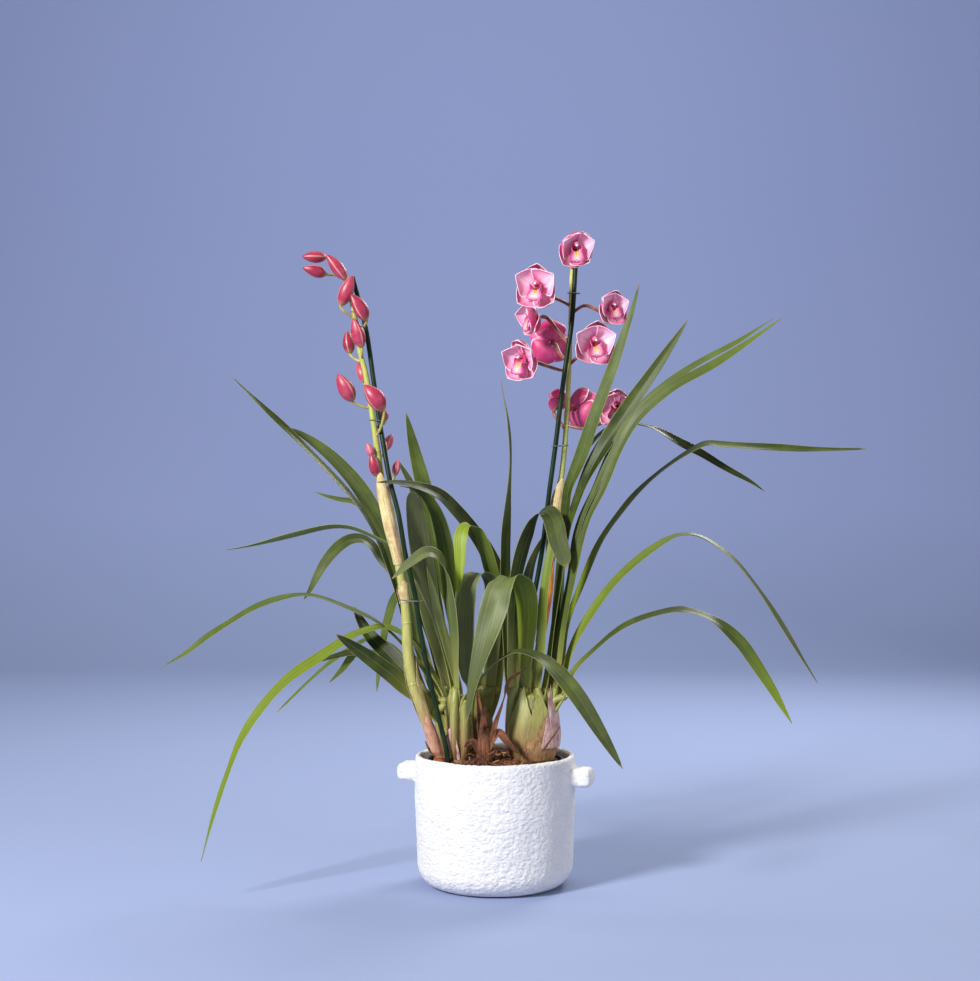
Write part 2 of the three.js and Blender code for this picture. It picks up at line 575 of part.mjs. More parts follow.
// Flowers: centre, the way each looks, its tepals' length, how far it is open (0 to 1), the seed of its own
// small unevenness, the height at which its stalk leaves the stem and, where needed, a point the stalk passes
const flowers = [
  { centre: [99, -4, 791], looks: [0.12, -1, -0.12], size: 35, open: 0.2, seed: 3, leaves: 768 },
  { centre: [53, -16, 740], looks: [-0.25, -1, 0.05],
    size: 36, open: 0.75, seed: 5, leaves: 722, via: [84, 18, 728] },
  { centre: [52, 22, 708], looks: [-1, -0.45, -0.2],
    size: 31, open: 0.45, seed: 4, leaves: 672, via: [80, 26, 690] },
  { centre: [74, 64, 680], looks: [-0.25, 1, 0.15],
    size: 38, open: 0.7, seed: 5, leaves: 652, via: [84, 32, 660] },
  { centre: [38, -12, 652], looks: [-0.6, -0.8, -0.1],
    size: 35, open: 0.6, seed: 11, leaves: 640, via: [80, 18, 642] },
  { centre: [141, -16, 715], looks: [0.45, -0.85, 0.05],
    size: 30, open: 0.5, seed: 2, leaves: 712, via: [112, 16, 722] },
  { centre: [121, -16, 671], looks: [0.2, -1, 0],
    size: 35, open: 0.8, seed: 3, leaves: 648, via: [106, 16, 660] },
  { centre: [101, 42, 594], looks: [0.75, 0.6, 0.1], size: 40, open: 0.35, seed: 5, leaves: 554 },
  { centre: [154, 5, 592], looks: [-0.3, -0.9, 0.1],
    size: 32, open: 0.6, seed: 17, leaves: 572, via: [114, 10, 568] },
  { centre: [84, 56, 606], looks: [-0.4, 0.9, 0.1],
    size: 22, open: 0.2, seed: 4, leaves: 566, via: [74, 30, 590] },
];

const ovary = 5;

function flowerStalk({ centre, looks, leaves, via }) {
  const from = placeAt(rightStem, leaves);
  const facing = vector(looks).normalize();
  const end = vector(centre).addScaledVector(facing, -ovary);
  const behind = vector(centre).addScaledVector(facing, -14);
  behind.z -= 2;
  const bend = via ?? vector(from).lerp(behind, 0.55).toArray();
  return stem([from, bend, behind.toArray(), end.toArray()], [2.1, 2, 2.3, 2.4], 5);
}

function flowerSpike() {
  const main = stem(rightStem, [6, 6, 5.5, 5, 4.6, 4.2, 3.4, 3.2, 3, 2.6, 2.2], 8);
  const sleeves = [
    stem([placeAt(rightStem, 405), placeAt(rightStem, 460), placeAt(rightStem, 500)], [6.2, 7.6, 4.6], 8),
    stem([placeAt(rightStem, 250), placeAt(rightStem, 304)], [6.8, 5.8], 8),
  ];
  return fuse([main, ...sleeves, ...flowers.map(flowerStalk)]);
}

// Blooms, each modelled looking along +Z with its top along +Y

// A broad tepal that leaves the flower's middle at a tilt and curls forward along its length, in degrees.
function tepal({ bearing, length, width, tilt, curl, lift, fold }) {
  const shares = [[0.12, 0.2], [0.4, 0.84], [0.72, 1], [1, 0.42]];
  const rings = shares.map(([out, wide]) => {
    const start = tilt * degree;
    const turn = Math.max(curl * degree, 0.01);
    const reach = (length / turn) * (Math.sin(start + turn * out) - Math.sin(start));
    const height = lift + (length / turn) * (Math.cos(start) - Math.cos(start + turn * out));
    const half = (wide * width) / 2;
    const edge = half * fold;
    const lean = start + turn * out;
    const place = (across, above) => new THREE.Vector3(
      across, reach - Math.sin(lean) * above, height + Math.cos(lean) * above);
    return [
      place(-half, edge + 0.4), place(0, 0.65), place(half, edge + 0.4),
      place(half, edge - 0.4), place(0, -0.65), place(-half, edge - 0.4),
    ];
  });
  return loft(rings).rotate([0, 0, -bearing]);
}

// The lip: two raised side lobes and a front lobe that bends down.
function lip(scale) {
  const stations = [[-2.6, 1, 2.4, 0.8], [-5, 9, 8, 6], [-12.5, 15, 6, 0.5]];
  const rings = stations.map(([y, z, half, raise]) => {
    const place = (across, above) =>
      new THREE.Vector3(across, y + above, z + above * 0.3).multiplyScalar(scale);
    return [
      place(-half, raise + 0.5), place(0, 0.7), place(half, raise + 0.5),
      place(half, raise - 0.5), place(0, -0.7), place(-half, raise - 0.5),
    ];
  });
  return loft(rings);
}

function column(scale) {
  const route = [[0, 1.6, -1], [0, 4, 6], [0, 3.2, 13]];
  return stem(route.map((point) => point.map((v) => v * scale)), [2.4, 2.8, 2.4], 5);
}

// A round knob behind the tepals where they all meet.
function bloomHeart() {
  return turned([[0, -4], [3.8, -2.4], [5.6, 1], [4.4, 3.2], [0, 4]], 6);
}

function bloom({ centre, looks, size, open, seed }) {
  const random = seededRandom(seed);
  const vary = (value, share) => value * (1 + (random() - 0.5) * share);
  const curl = mix(85, 29, open);
  const outer = { length: size, width: size * 0.82, tilt: mix(8, 0, open), curl, lift: -1, fold: 0.1 };
  const inner = { length: size * 0.95, width: size * 0.86, tilt: mix(16, 11, open), curl, lift: 1.6, fold: 0.3 };
  const flower = fuse([
    bloomHeart(),
    ...[4, 134, -134].map((bearing) => tepal({ ...outer, bearing: vary(bearing, 0.06), curl: vary(curl, 0.2) })),
    ...[66, -66].map((bearing) => tepal({ ...inner, bearing: vary(bearing, 0.1), curl: vary(curl, 0.25) })),
    lip(size / 31),
    column(size / 31),
  ]);
  const facing = vector(looks).normalize();
  const across = up.clone().cross(facing).normalize();
  const top = facing.clone().cross(across);
  const frame = new THREE.Matrix4().makeBasis(across, top, facing).setPosition(vector(centre));
  return flower.transform(frame.toArray());
}

// Stakes and ties

const leftStake = [
  [-59, -34, plugBottom], [-59, -34, 165], [-69, -34, 210], [-80, -34, 257], [-91, -33, 312],
  [-99, -32, 365],
  [-110, -31, 410], [-119, -28, 461], [-130, -22, 503], [-139, -12, 550], [-145, -5, 583], [-152, 0, 631],
  [-161, 4, 690], [-171, 6, 730], [-178, 7, 757],
];
const rightStake = [
  [22, 18, plugBottom], [22, 18, 165], [36, 14, 270], [48, 10, 353], [58, 9, 410], [67, 8, 482],
  [76, 9, 550], [84, 10, 615], [91, 11, 665], [96, 12, 700], [101, 14, 771],
];

// A flat band round a stem and its stake at one height, clear of both.
function tie(stemRoute, stakeRoute, height, radius) {
  const from = placeAt(stemRoute, height);
  const to = placeAt(stakeRoute, height);
  const reach = Math.hypot(to[0] - from[0], to[1] - from[1]);
  const turn = Math.atan2(to[1] - from[1], to[0] - from[0]);
  const inner = radius + tieSlack;
  const outline = (size, Kind) => {
    const shape = new Kind();
    shape.absarc(0, 0, size, Math.PI / 2, (3 * Math.PI) / 2, false);
    shape.absarc(reach, 0, size, -Math.PI / 2, Math.PI / 2, false);
    shape.closePath();
    return shape;
  };
  const shape = outline(inner + tieThickness, THREE.Shape);
  shape.holes.push(outline(inner, THREE.Path));
  const settings = { depth: tieHeight, bevelEnabled: false, curveSegments: 2 };
  const band = solidOf(new THREE.ExtrudeGeometry(shape, settings));
  return band.rotate([0, 0, turn / degree]).translate([from[0], from[1], height - tieHeight / 2]);
}

// Assembly

const plant = new THREE.Group();
plant.name = "potted_orchid";

const colours = {
  glaze: 0xf2f1ee,
  plastic: 0x1b181c,
  bark: 0x5d3a24,
  leafDark: 0x3a5626,
  leafMid: 0x4b6e30,
  dry: 0x8a5a3a,
  budStem: 0xa8a05a,
  stem: 0xb7a45e,
  petal: 0xd8628f,
  stake: 0x1d2a22,
  tie: 0x2c3a2e,
};

plant.add(meshOf("pot", pot(), colours.glaze, 0.9));
plant.add(meshOf("nursery_pot", liner(), colours.plastic, 0.5));

const holes = [
  ...Object.values(growths).map(({ root }) => hole(root.x, root.y, root.wide * bulbWaist, bulbSides)),
  hole(dryRoot.x, dryRoot.y, dryRoot.wide * bulbWaist, bulbSides),
  hole(leftStem[0][0], leftStem[0][1], 6.2, 8),
  hole(rightStem[0][0], rightStem[0][1], 6, 8),
  hole(leftStake[0][0], leftStake[0][1], stakeRadius, 8),
  hole(rightStake[0][0], rightStake[0][1], stakeRadius, 8),
];
const growingMix = fuse([holes.reduce((left, each) => left.subtract(each), mixBody())]);
plant.add(meshOf("growing_mix", growingMix, colours.bark, 1));

const leafColours = [colours.leafMid, colours.leafDark];
Object.entries(growths).forEach(([name, { root, leaves }], i) => {
  plant.add(meshOf(name, growth(root, leaves), leafColours[i % leafColours.length], 0.45));
});
plant.add(meshOf("dry_sheaths", drySheaths(), colours.dry, 0.9));
plant.add(meshOf("bud_spike", budSpike(), colours.budStem, 0.6));
plant.add(meshOf("flower_spike", flowerSpike(), colours.stem, 0.6));
flowers.forEach((flower, i) => {
  plant.add(meshOf("bloom_" + (i + 1), bloom(flower), colours.petal, 0.5));
});

const stakeRadii = [stakeRadius, stakeRadius];
plant.add(meshOf("stake_left", stem(leftStake, stakeRadii, 8), colours.stake, 0.5));
plant.add(meshOf("stake_right", stem(rightStake, stakeRadii, 8), colours.stake, 0.5));

const ties = [
  { name: "tie_left_low", stem: leftStem, stake: leftStake, height: 355, radius: 6.6 },
  { name: "tie_left_middle", stem: leftStem, stake: leftStake, height: 577, radius: 3.6 },
  { name: "tie_left_high", stem: leftStem, stake: leftStake, height: 712, radius: 3.2 },
  { name: "tie_right_low", stem: rightStem, stake: rightStake, height: 546, radius: 4 },
  { name: "tie_right_high", stem: rightStem, stake: rightStake, height: 738, radius: 3.2 },
];
ties.forEach(({ name, stem: stemRoute, stake, height, radius }) => {
  plant.add(meshOf(name, tie(stemRoute, stake, height, radius), colours.tie, 0.6));
});

export default plant;
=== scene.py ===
import math
import random

import bpy
from mathutils import Matrix, Vector, noise


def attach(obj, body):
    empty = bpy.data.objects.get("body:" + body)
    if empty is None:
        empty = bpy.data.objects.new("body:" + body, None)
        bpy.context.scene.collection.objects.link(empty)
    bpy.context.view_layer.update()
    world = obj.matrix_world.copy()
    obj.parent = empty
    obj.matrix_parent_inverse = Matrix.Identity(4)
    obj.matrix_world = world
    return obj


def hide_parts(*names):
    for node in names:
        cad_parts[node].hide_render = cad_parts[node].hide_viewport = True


# Potted boat orchid in a rough white pot: one spike in bud, one in flower, both on stakes.
# Metres, +Z up, the pot's foot centred on the origin. Routes are written in millimetres.

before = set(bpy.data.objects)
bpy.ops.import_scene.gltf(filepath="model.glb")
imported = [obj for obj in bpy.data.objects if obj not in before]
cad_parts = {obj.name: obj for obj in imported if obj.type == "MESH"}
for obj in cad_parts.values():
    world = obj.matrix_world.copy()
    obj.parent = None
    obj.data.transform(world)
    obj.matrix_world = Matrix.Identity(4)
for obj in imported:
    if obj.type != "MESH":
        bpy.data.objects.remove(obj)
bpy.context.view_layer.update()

mm = 0.001
degree = math.pi / 180
upward = Vector((0, 0, 1))
toFront = Vector((0, -1, 0))

# the camera comes first, at the photograph's viewing angle

cameraSettings = {"place": (-0.0064, -2.181, 0.490), "lens": 64.22, "sensor": 36.0}

bpy.ops.object.select_all(action="DESELECT")
bpy.ops.object.camera_add(location=cameraSettings["place"], rotation=(math.pi / 2, 0, 0))
camera = bpy.context.object
camera.name = "camera"
camera.data.lens = cameraSettings["lens"]
camera.data.sensor_width = cameraSettings["sensor"]
bpy.context.scene.camera = camera

# small tools


def onlySelect(*chosen):
    bpy.ops.object.select_all(action="DESELECT")
    for piece in chosen:
        piece.select_set(True)
    bpy.context.view_layer.objects.active = chosen[0]


def blend(low, high, share):
    return low + (high - low) * share


def smoothStep(low, high, value):
    share = min(max((value - low) / (high - low), 0), 1)
    return share * share * (3 - 2 * share)


def alongList(values, share):  # one number holds for the whole length
    if not isinstance(values, (list, tuple)):
        return values
    place = min(share, 1) * (len(values) - 1)
    step = min(int(place), len(values) - 2)
    return blend(values[step], values[step + 1], place - step)


def routeAt(points, share):  # a smooth route through all of its points
    last = len(points) - 1
    place = min(max(share, 0), 1) * last
    step = min(int(place), last - 1)
    part = place - step
    b, c = points[step], points[step + 1]
    a = points[step - 1] if step else b * 2 - c
    d = points[step + 2] if step + 2 <= last else c * 2 - b
    gaps = [max((far - near).length, 1e-6) ** 0.5 for near, far in ((a, b), (b, c), (c, d))]
    leave = ((b - a) / gaps[0] - (c - a) / (gaps[0] + gaps[1]) + (c - b) / gaps[1]) * gaps[1]
    arrive = ((c - b) / gaps[1] - (d - b) / (gaps[1] + gaps[2]) + (d - c) / gaps[2]) * gaps[1]
    bow = (c - b) * 3 - leave * 2 - arrive
    turn = (b - c) * 2 + leave + arrive
    return b + leave * part + bow * part ** 2 + turn * part ** 3


def heightShare(points, height):  # where a rising route passes a height
    last = len(points) - 1
    for step in range(last):
        low, high = points[step][2], points[step + 1][2]
        if high >= height:
            return (step + max(height - low, 0) / (high - low)) / last
    return 1


def pointAtHeight(points, height):
    step = next((i for i, point in enumerate(points) if i and point[2] >= height), len(points) - 1)
    low, high = Vector(points[step - 1]), Vector(points[step])
    return low.lerp(high, (height - low.z) / (high.z - low.z))


def gridPiece(name, across, along, place):  # a flat grid, each of its points then put in place
    bpy.ops.object.select_all(action="DESELECT")
    bpy.ops.mesh.primitive_grid_add(x_subdivisions=across, y_subdivisions=along, size=2)
    piece = bpy.context.object
    piece.name = name
    for vertex in piece.data.vertices:
        row = round((vertex.co.y + 1) / 2 * along)
        vertex.co = place(vertex.co.x, row)
    return piece


def closeSeams(piece, gap=0.00002):
    onlySelect(piece)
    bpy.ops.object.mode_set(mode="EDIT")
    bpy.ops.mesh.select_all(action="SELECT")
    bpy.ops.mesh.remove_doubles(threshold=gap)
    bpy.ops.mesh.dissolve_degenerate(threshold=gap / 4)
    bpy.ops.mesh.normals_make_consistent(inside=False)
    bpy.ops.object.mode_set(mode="OBJECT")


def shadeSmooth(piece, angle=None):
    onlySelect(piece)
    if angle is None:
        bpy.ops.object.shade_smooth()
    else:
        bpy.ops.object.shade_smooth_by_angle(angle=angle * degree)


def applyModifier(piece, kind, **settings):
    onlySelect(piece)
    modifier = piece.modifiers.new(kind.lower(), kind)
    for key, value in settings.items():
        setattr(modifier, key, value)
    bpy.ops.object.modifier_apply(modifier=modifier.name)


def refine(piece, levels=1):
    applyModifier(piece, "SUBSURF", levels=levels, render_levels=levels)


def joinPieces(name, pieces):
    onlySelect(*pieces)
    if len(pieces) > 1:
        bpy.ops.object.join()
    piece = bpy.context.object
    piece.name = name
    piece.data.name = name
    return piece


def copyOf(piece, matrix):
    twin = piece.copy()
    twin.data = piece.data.copy()
    bpy.context.collection.objects.link(twin)
    twin.data.transform(matrix)
    return twin


def discard(*pieces):
    for piece in pieces:
        bpy.data.objects.remove(piece, do_unlink=True)


def finishPiece(piece, slot, *nodes):
    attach(piece, "root")
    if nodes:
        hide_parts(*nodes)
    return piece


def paintMap(piece, name, colourOf):  # a value for each point, which the materials read
    layer = piece.data.attributes.new(name, "FLOAT_COLOR", "POINT")
    values = [part for vertex in piece.data.vertices for part in colourOf(vertex)]
    layer.data.foreach_set("color", values)


def sidewaysTo(direction):
    side = toFront - direction * toFront.dot(direction)
    if side.length < 0.2:
        side = upward - direction * upward.dot(direction)
    return side.normalized()


def tube(name, points, radii, sides=12, steps=None, flat=1.0):
    route = [Vector(point) * mm for point in points]
    steps = steps or 6 * (len(route) - 1)
    middles = [routeAt(route, i / steps) for i in range(steps + 1)]
    rows = []
    for i, middle in enumerate(middles):
        ahead = middles[min(i + 1, steps)] - middles[max(i - 1, 0)]
        along = ahead.normalized()
        side = sidewaysTo(along)
        rows.append((middle, side, along.cross(side), alongList(radii, i / steps) * mm))
    # both ends are closed by a row of no width
    rows = [rows[0][:3] + (0,)] + rows + [rows[-1][:3] + (0,)]

    def place(u, row):
        middle, side, other, radius = rows[row]
        turn = u * math.pi
        return middle + side * (math.cos(turn) * radius) + other * (math.sin(turn) * radius * flat)

    piece = gridPiece(name, sides, len(rows) - 1, place)
    closeSeams(piece)
    return piece


def turned(name, profile, sides):  # rings drawn out one after another, as on a wheel
    radius, height = profile[0]
    bpy.ops.object.select_all(action="DESELECT")
    bpy.ops.mesh.primitive_circle_add(vertices=sides, radius=radius, location=(0, 0, height))
    piece = bpy.context.object
    piece.name = name
    bpy.ops.object.transform_apply(location=True, rotation=True, scale=True)
    bpy.ops.object.mode_set(mode="EDIT")
    bpy.ops.mesh.select_all(action="SELECT")
    for nextRadius, nextHeight in profile[1:]:
        bpy.ops.mesh.extrude_region_move(TRANSFORM_OT_translate={"value": (0, 0, nextHeight - height)})
        share = nextRadius / radius
        bpy.ops.transform.resize(value=(share, share, 1), center_override=(0, 0, 0))
        radius, height = nextRadius, nextHeight
    bpy.ops.mesh.edge_face_add()
    bpy.ops.mesh.select_all(action="SELECT")
    bpy.ops.mesh.select_non_manifold()
    bpy.ops.mesh.edge_face_add()
    bpy.ops.mesh.select_all(action="SELECT")
    bpy.ops.mesh.normals_make_consistent(inside=False)
    bpy.ops.object.mode_set(mode="OBJECT")
    return piece


def arcProfile(centreRadius, centreHeight, radius, start, end, steps):
    rings = []
    for i in range(steps + 1):
        turn = blend(start, end, i / steps) * degree
        rings.append((centreRadius + math.cos(turn) * radius, centreHeight + math.sin(turn) * radius))
    return rings

# materials: small helpers, then one finish after another


class Finish:
    def __init__(self, name, roughness=0.5, **uniform):
        self.material = bpy.data.materials.new(name)
        self.material.use_nodes = True
        self.tree = self.material.node_tree
        self.shader = self.tree.nodes["Principled BSDF"]
        self.put("Roughness", roughness)
        for socket, value in uniform.items():
            self.put(socket.replace("_", " "), value)
        self.material.diffuse_color = (0.5, 0.5, 0.5, 1)

    def feed(self, socket, value):
        if isinstance(value, bpy.types.NodeSocket):
            self.tree.links.new(value, socket)
        elif isinstance(value, tuple) and len(value) == 3 and socket.type == "RGBA":
            socket.default_value = (*value, 1)
        else:
            socket.default_value = value

    def put(self, name, value):
        self.feed(self.shader.inputs[name], value)

    def node(self, kind, **settings):
        made = self.tree.nodes.new("ShaderNode" + kind)
        for key, value in settings.items():
            setattr(made, key, value)
        return made

    def objectPlace(self):
        return self.node("TexCoord").outputs["Object"]

    def surfacePlace(self):
        return self.node("UVMap", uv_map="UVMap").outputs["UV"]

    def stretched(self, vector, scale):
        made = self.node("Mapping")
        self.feed(made.inputs["Vector"], vector)
        made.inputs["Scale"].default_value = scale
        return made.outputs["Vector"]

    def noise(self, vector, scale, detail=3.0, roughness=0.55, distortion=0.0):
        made = self.node("TexNoise")
        for key, value in (("Vector", vector), ("Scale", scale), ("Detail", detail),
                           ("Roughness", roughness), ("Distortion", distortion)):
            self.feed(made.inputs[key], value)
        return made.outputs["Fac"]

    def cells(self, vector, scale, feature="F1"):
        made = self.node("TexVoronoi", feature=feature)
        self.feed(made.inputs["Vector"], vector)
        made.inputs["Scale"].default_value = scale
        return made.outputs["Distance"]

    def sums(self, operation, a, b=0.0):
        made = self.node("Math", operation=operation)
        for socket, value in zip(made.inputs, (a, b)):
            self.feed(socket, value)
        return made.outputs[0]

    def plus(self, a, b, share):
        return self.sums("ADD", a, self.sums("MULTIPLY", b, share))

    def fromMiddle(self, value):
        return self.sums("ABSOLUTE", self.sums("SUBTRACT", value, 0.5))

    def ramp(self, value, *stops):
        made = self.node("ValToRGB")
        edges = made.color_ramp.elements
        while len(edges) < len(stops):
            edges.new(0.5)
        for edge, (place, colour) in zip(edges, stops):
            edge.position = place
            edge.color = (*colour, 1) if isinstance(colour, tuple) else (colour, colour, colour, 1)
        self.feed(made.inputs["Fac"], value)
        return made.outputs["Color"]

    def mixed(self, share, a, b, kind="MIX"):
        made = self.node("Mix", data_type="RGBA", blend_type=kind)
        self.feed(made.inputs["Factor"], share)
        self.feed(made.inputs[6], a)
        self.feed(made.inputs[7], b)
        return made.outputs[2]

    def tinted(self, base, mask, strength, colour):
        return self.mixed(self.sums("MULTIPLY", mask, strength), base, colour)

    def shaded(self, base, strength, pattern, *stops):  # darker and lighter by a pattern
        return self.mixed(strength, base, self.ramp(pattern, *stops), "MULTIPLY")

    def parts(self, vector):
        made = self.node("SeparateXYZ")
        self.feed(made.inputs[0], vector)
        return made.outputs

    def mapParts(self, name):
        made = self.node("Attribute", attribute_name=name)
        split = self.node("SeparateColor")
        self.feed(split.inputs[0], made.outputs["Color"])
        return split.outputs

    def within(self, value, low, high):  # 0 below low, 1 above high
        made = self.node("MapRange", clamp=True)
        for key, amount in (("Value", value), ("From Min", low), ("From Max", high)):
            self.feed(made.inputs[key], amount)
        return made.outputs[0]

    def bump(self, height, strength, distance):
        made = self.node("Bump")
        made.inputs["Strength"].default_value = strength
        made.inputs["Distance"].default_value = distance
        self.feed(made.inputs["Height"], height)
        self.put("Normal", made.outputs["Normal"])

    def done(self, colour, height, strength, distance):
        self.put("Base Color", colour)
        self.bump(height, strength, distance)
        return self.material


def makeGlaze():
    look = Finish("roughWhiteGlaze", 0.86, Specular_IOR_Level=0.3)
    place = look.objectPlace()
    coarse = look.noise(look.stretched(place, (0.7, 0.7, 1)), 120, 4, 0.6)
    fine = look.noise(place, 420, 4, 0.7)
    grains = look.cells(look.stretched(place, (0.7, 0.7, 1)), 300, "SMOOTH_F1")
    height = look.plus(look.sums("MULTIPLY", coarse, 1.1), fine, 0.5)
    height = look.sums("SUBTRACT", height, look.sums("MULTIPLY", grains, 0.6))
    shade = look.ramp(look.noise(place, 30, 3), (0.3, (0.80, 0.79, 0.80)), (0.7, (0.86, 0.85, 0.86)))
    pits = look.ramp(look.noise(place, 260, 2, 0.6), (0.28, 0.90), (0.42, 1.0))
    return look.done(look.mixed(1.0, shade, pits, "MULTIPLY"), height, 1.0, 0.0022)


def makeLinerPlastic():
    look = Finish("blackLinerPlastic", 0.42)
    place = look.objectPlace()
    dust = look.noise(place, 60, 4)
    look.put("Roughness", look.within(dust, 0.2, 1.2))
    base = look.ramp(dust, (0.35, (0.012, 0.011, 0.013)), (0.75, (0.05, 0.044, 0.042)))
    return look.done(base, look.noise(place, 300, 3), 0.2, 0.0004)


def makeBark():
    look = Finish("barkAndFibre", 0.9)
    place = look.objectPlace()
    tone = look.mapParts("chipMap")[0]
    grain = look.noise(look.stretched(place, (1, 1, 3)), 380, 4, 0.7)
    base = look.ramp(tone, (0.0, (0.055, 0.02, 0.014)), (0.35, (0.16, 0.055, 0.035)),
                     (0.7, (0.30, 0.12, 0.055)), (0.86, (0.55, 0.26, 0.08)), (1.0, (0.72, 0.46, 0.19)))
    base = look.shaded(base, 0.75, grain, (0.3, 0.45), (0.7, 1.25))
    return look.done(base, look.sums("ADD", grain, look.noise(place, 1200, 2)), 0.7, 0.0008)


# deep and bright are the two ends of a leaf's tone: deep is partly painted shade and bright is partly painted
# light shining through the leaf. The silvery grey-green is a painted sheen together with the leaf's waxy
# bloom
leafColours = {
    "deep": (0.013, 0.020, 0.003),
    "green": (0.060, 0.094, 0.008),
    "bright": (0.22, 0.30, 0.014),
    "sheenAndBloom": (0.150, 0.165, 0.080),
    "margin": (0.40, 0.44, 0.15),
    "foot": (0.37, 0.36, 0.095),
    "scar": (0.16, 0.12, 0.03),
    "tip": (0.30, 0.20, 0.06),
}


def makeLeaf(name, roughness, lighter, ribLight):
    look = Finish(name, roughness, Specular_IOR_Level=0.32)
    place, surface = look.objectPlace(), look.surfacePlace()
    reach, tone, sheenAndBloom = look.mapParts("leafMap")[:3]
    side, length = look.parts(surface)[:2]
    # fine veins run the whole length, with broader pleats among them
    veins = look.noise(look.stretched(surface, (95, 3.2, 1)), 1, 3, 0.6)
    pleats = look.noise(look.stretched(surface, (16, 1.1, 1)), 1, 2, 0.5)
    patches = look.noise(place, 34, 3, 0.6)
    # the tone paints shade and light along each leaf: dark where it lies in shade, bright where light shines
    # through it, over the leaf's own green
    base = look.ramp(tone, (0.0, leafColours["deep"]), (0.5, leafColours["green"]),
                     (1.0, leafColours["bright"]))
    # the silvery mix is a painted sheen together with the waxy bloom
    base = look.mixed(sheenAndBloom, base, leafColours["sheenAndBloom"])
    base = look.tinted(base, look.within(patches, 0.45, 0.8), 0.5,
                       look.mixed(0.5, base, leafColours["bright"]))
    base = look.shaded(base, 0.7, pleats, (0.25, 0.55), (0.75, 1.5))
    base = look.shaded(base, 0.7, veins, (0.3, 0.65), (0.7, 1.4))
    # the rib, the thin pale margins and the dry tip
    fromRib = look.fromMiddle(side)
    rib = look.within(fromRib, 0.03, 0.008)
    base = look.tinted(base, rib, 0.55, ribLight)
    margin = look.within(fromRib, 0.466, 0.492)
    base = look.tinted(base, margin, 0.65, leafColours["margin"])
    dryTip = look.within(look.plus(length, patches, 0.02), 0.988, 1.006)
    base = look.mixed(dryTip, base, leafColours["tip"])
    # the pale foot below and above the scar where a leaf will part
    foot = look.within(look.plus(reach, patches, 0.12), 0.97, 0.46)
    base = look.tinted(base, foot, 0.85,
                       look.shaded(leafColours["foot"], 0.6, veins, (0.3, 0.55), (0.7, 1.3)))
    nearScar = look.fromMiddle(reach)
    scar = look.within(look.plus(nearScar, patches, 0.006), 0.012, 0.004)
    base = look.tinted(base, scar, 0.75, leafColours["scar"])
    if lighter:
        base = look.mixed(lighter, base, leafColours["sheenAndBloom"])
    look.put("Roughness", look.plus(roughness - 0.08, patches, 0.2))
    height = look.plus(look.sums("MULTIPLY", veins, 0.4), pleats, 1.0)
    height = look.sums("SUBTRACT", height, look.sums("MULTIPLY", rib, 0.8))
    return look.done(base, height, 0.35, 0.0006)


def makeBulbSkin(name, netted):
    look = Finish(name, 0.45, Specular_IOR_Level=0.45)
    place = look.objectPlace()
    level = look.parts(place)[2]
    veins = look.noise(look.stretched(place, (1, 1, 0.10)), 330, 4, 0.65, 0.2)
    patches = look.noise(place, 55, 4, 0.6)
    base = look.ramp(patches, (0.3, (0.15, 0.16, 0.03)), (0.52, (0.31, 0.31, 0.09)),
                     (0.8, (0.40, 0.28, 0.14)))
    base = look.shaded(base, 0.8, veins, (0.36, 0.4), (0.64, 1.4))
    low = look.within(look.plus(level, patches, 0.04), 0.226, 0.186)
    base = look.tinted(base, low, 0.8, (0.24, 0.11, 0.05))
    if netted:  # the brown net left by an old sheath
        net = look.cells(look.stretched(place, (1, 1, 0.4)), 190, "DISTANCE_TO_EDGE")
        base = look.tinted(base, look.within(net, 0.10, 0.03), 0.8, (0.13, 0.045, 0.02))
    return look.done(base, look.sums("ADD", veins, patches), 0.4, 0.0007)


def makePaper(name, pale, dark, roughness=0.8):
    look = Finish(name, roughness, Specular_IOR_Level=0.3)
    place, surface = look.objectPlace(), look.surfacePlace()
    veins = look.noise(look.stretched(surface, (42, 2.4, 1)), 1, 4, 0.65)
    patches = look.noise(place, 70, 5, 0.65)
    share = look.plus(look.sums("MULTIPLY", veins, 0.55), patches, 0.45)
    look.put("Roughness", look.plus(roughness - 0.15, patches, 0.3))
    return look.done(look.ramp(share, (0.40, dark), (0.58, pale)), look.plus(veins, patches, 0.5), 0.6, 0.001)


def makeStem(name, blush, *levels):  # each level is a height in metres and its colour
    look = Finish(name, 0.42, Specular_IOR_Level=0.5)
    place = look.objectPlace()
    streaks = look.noise(look.stretched(place, (1, 1, 0.09)), 420, 4, 0.65)
    patches = look.noise(place, 48, 4, 0.6)
    height = look.plus(look.parts(place)[2], patches, 0.03)
    base = look.ramp(height, *levels)
    base = look.tinted(base, look.within(patches, 0.5, 0.72), 0.5, blush)
    base = look.shaded(base, 0.7, streaks, (0.3, 0.6), (0.7, 1.25))
    return look.done(base, look.sums("ADD", streaks, patches), 0.3, 0.0006)


def makeBudSkin():
    look = Finish("budSkin", 0.38, Specular_IOR_Level=0.5)
    place = look.objectPlace()
    rib, length, tone = look.mapParts("budMap")[:3]
    veins = look.noise(look.stretched(place, (1, 1, 0.4)), 700, 3, 0.6)
    patches = look.noise(place, 90, 3)
    base = look.ramp(look.plus(tone, patches, 0.35), (0.35, (0.20, 0.008, 0.030)),
                     (0.65, (0.40, 0.030, 0.075)), (1.0, (0.62, 0.15, 0.20)))
    base = look.shaded(base, 0.5, veins, (0.3, 0.65), (0.7, 1.3))
    foot = look.within(look.plus(length, patches, 0.12), 0.26, 0.08)
    base = look.tinted(base, foot, 0.6, (0.50, 0.36, 0.10))
    edge = look.within(look.plus(rib, patches, 0.1), 0.84, 1.02)
    base = look.tinted(base, edge, 0.6, (0.72, 0.44, 0.34))
    return look.done(base, veins, 0.25, 0.0004)


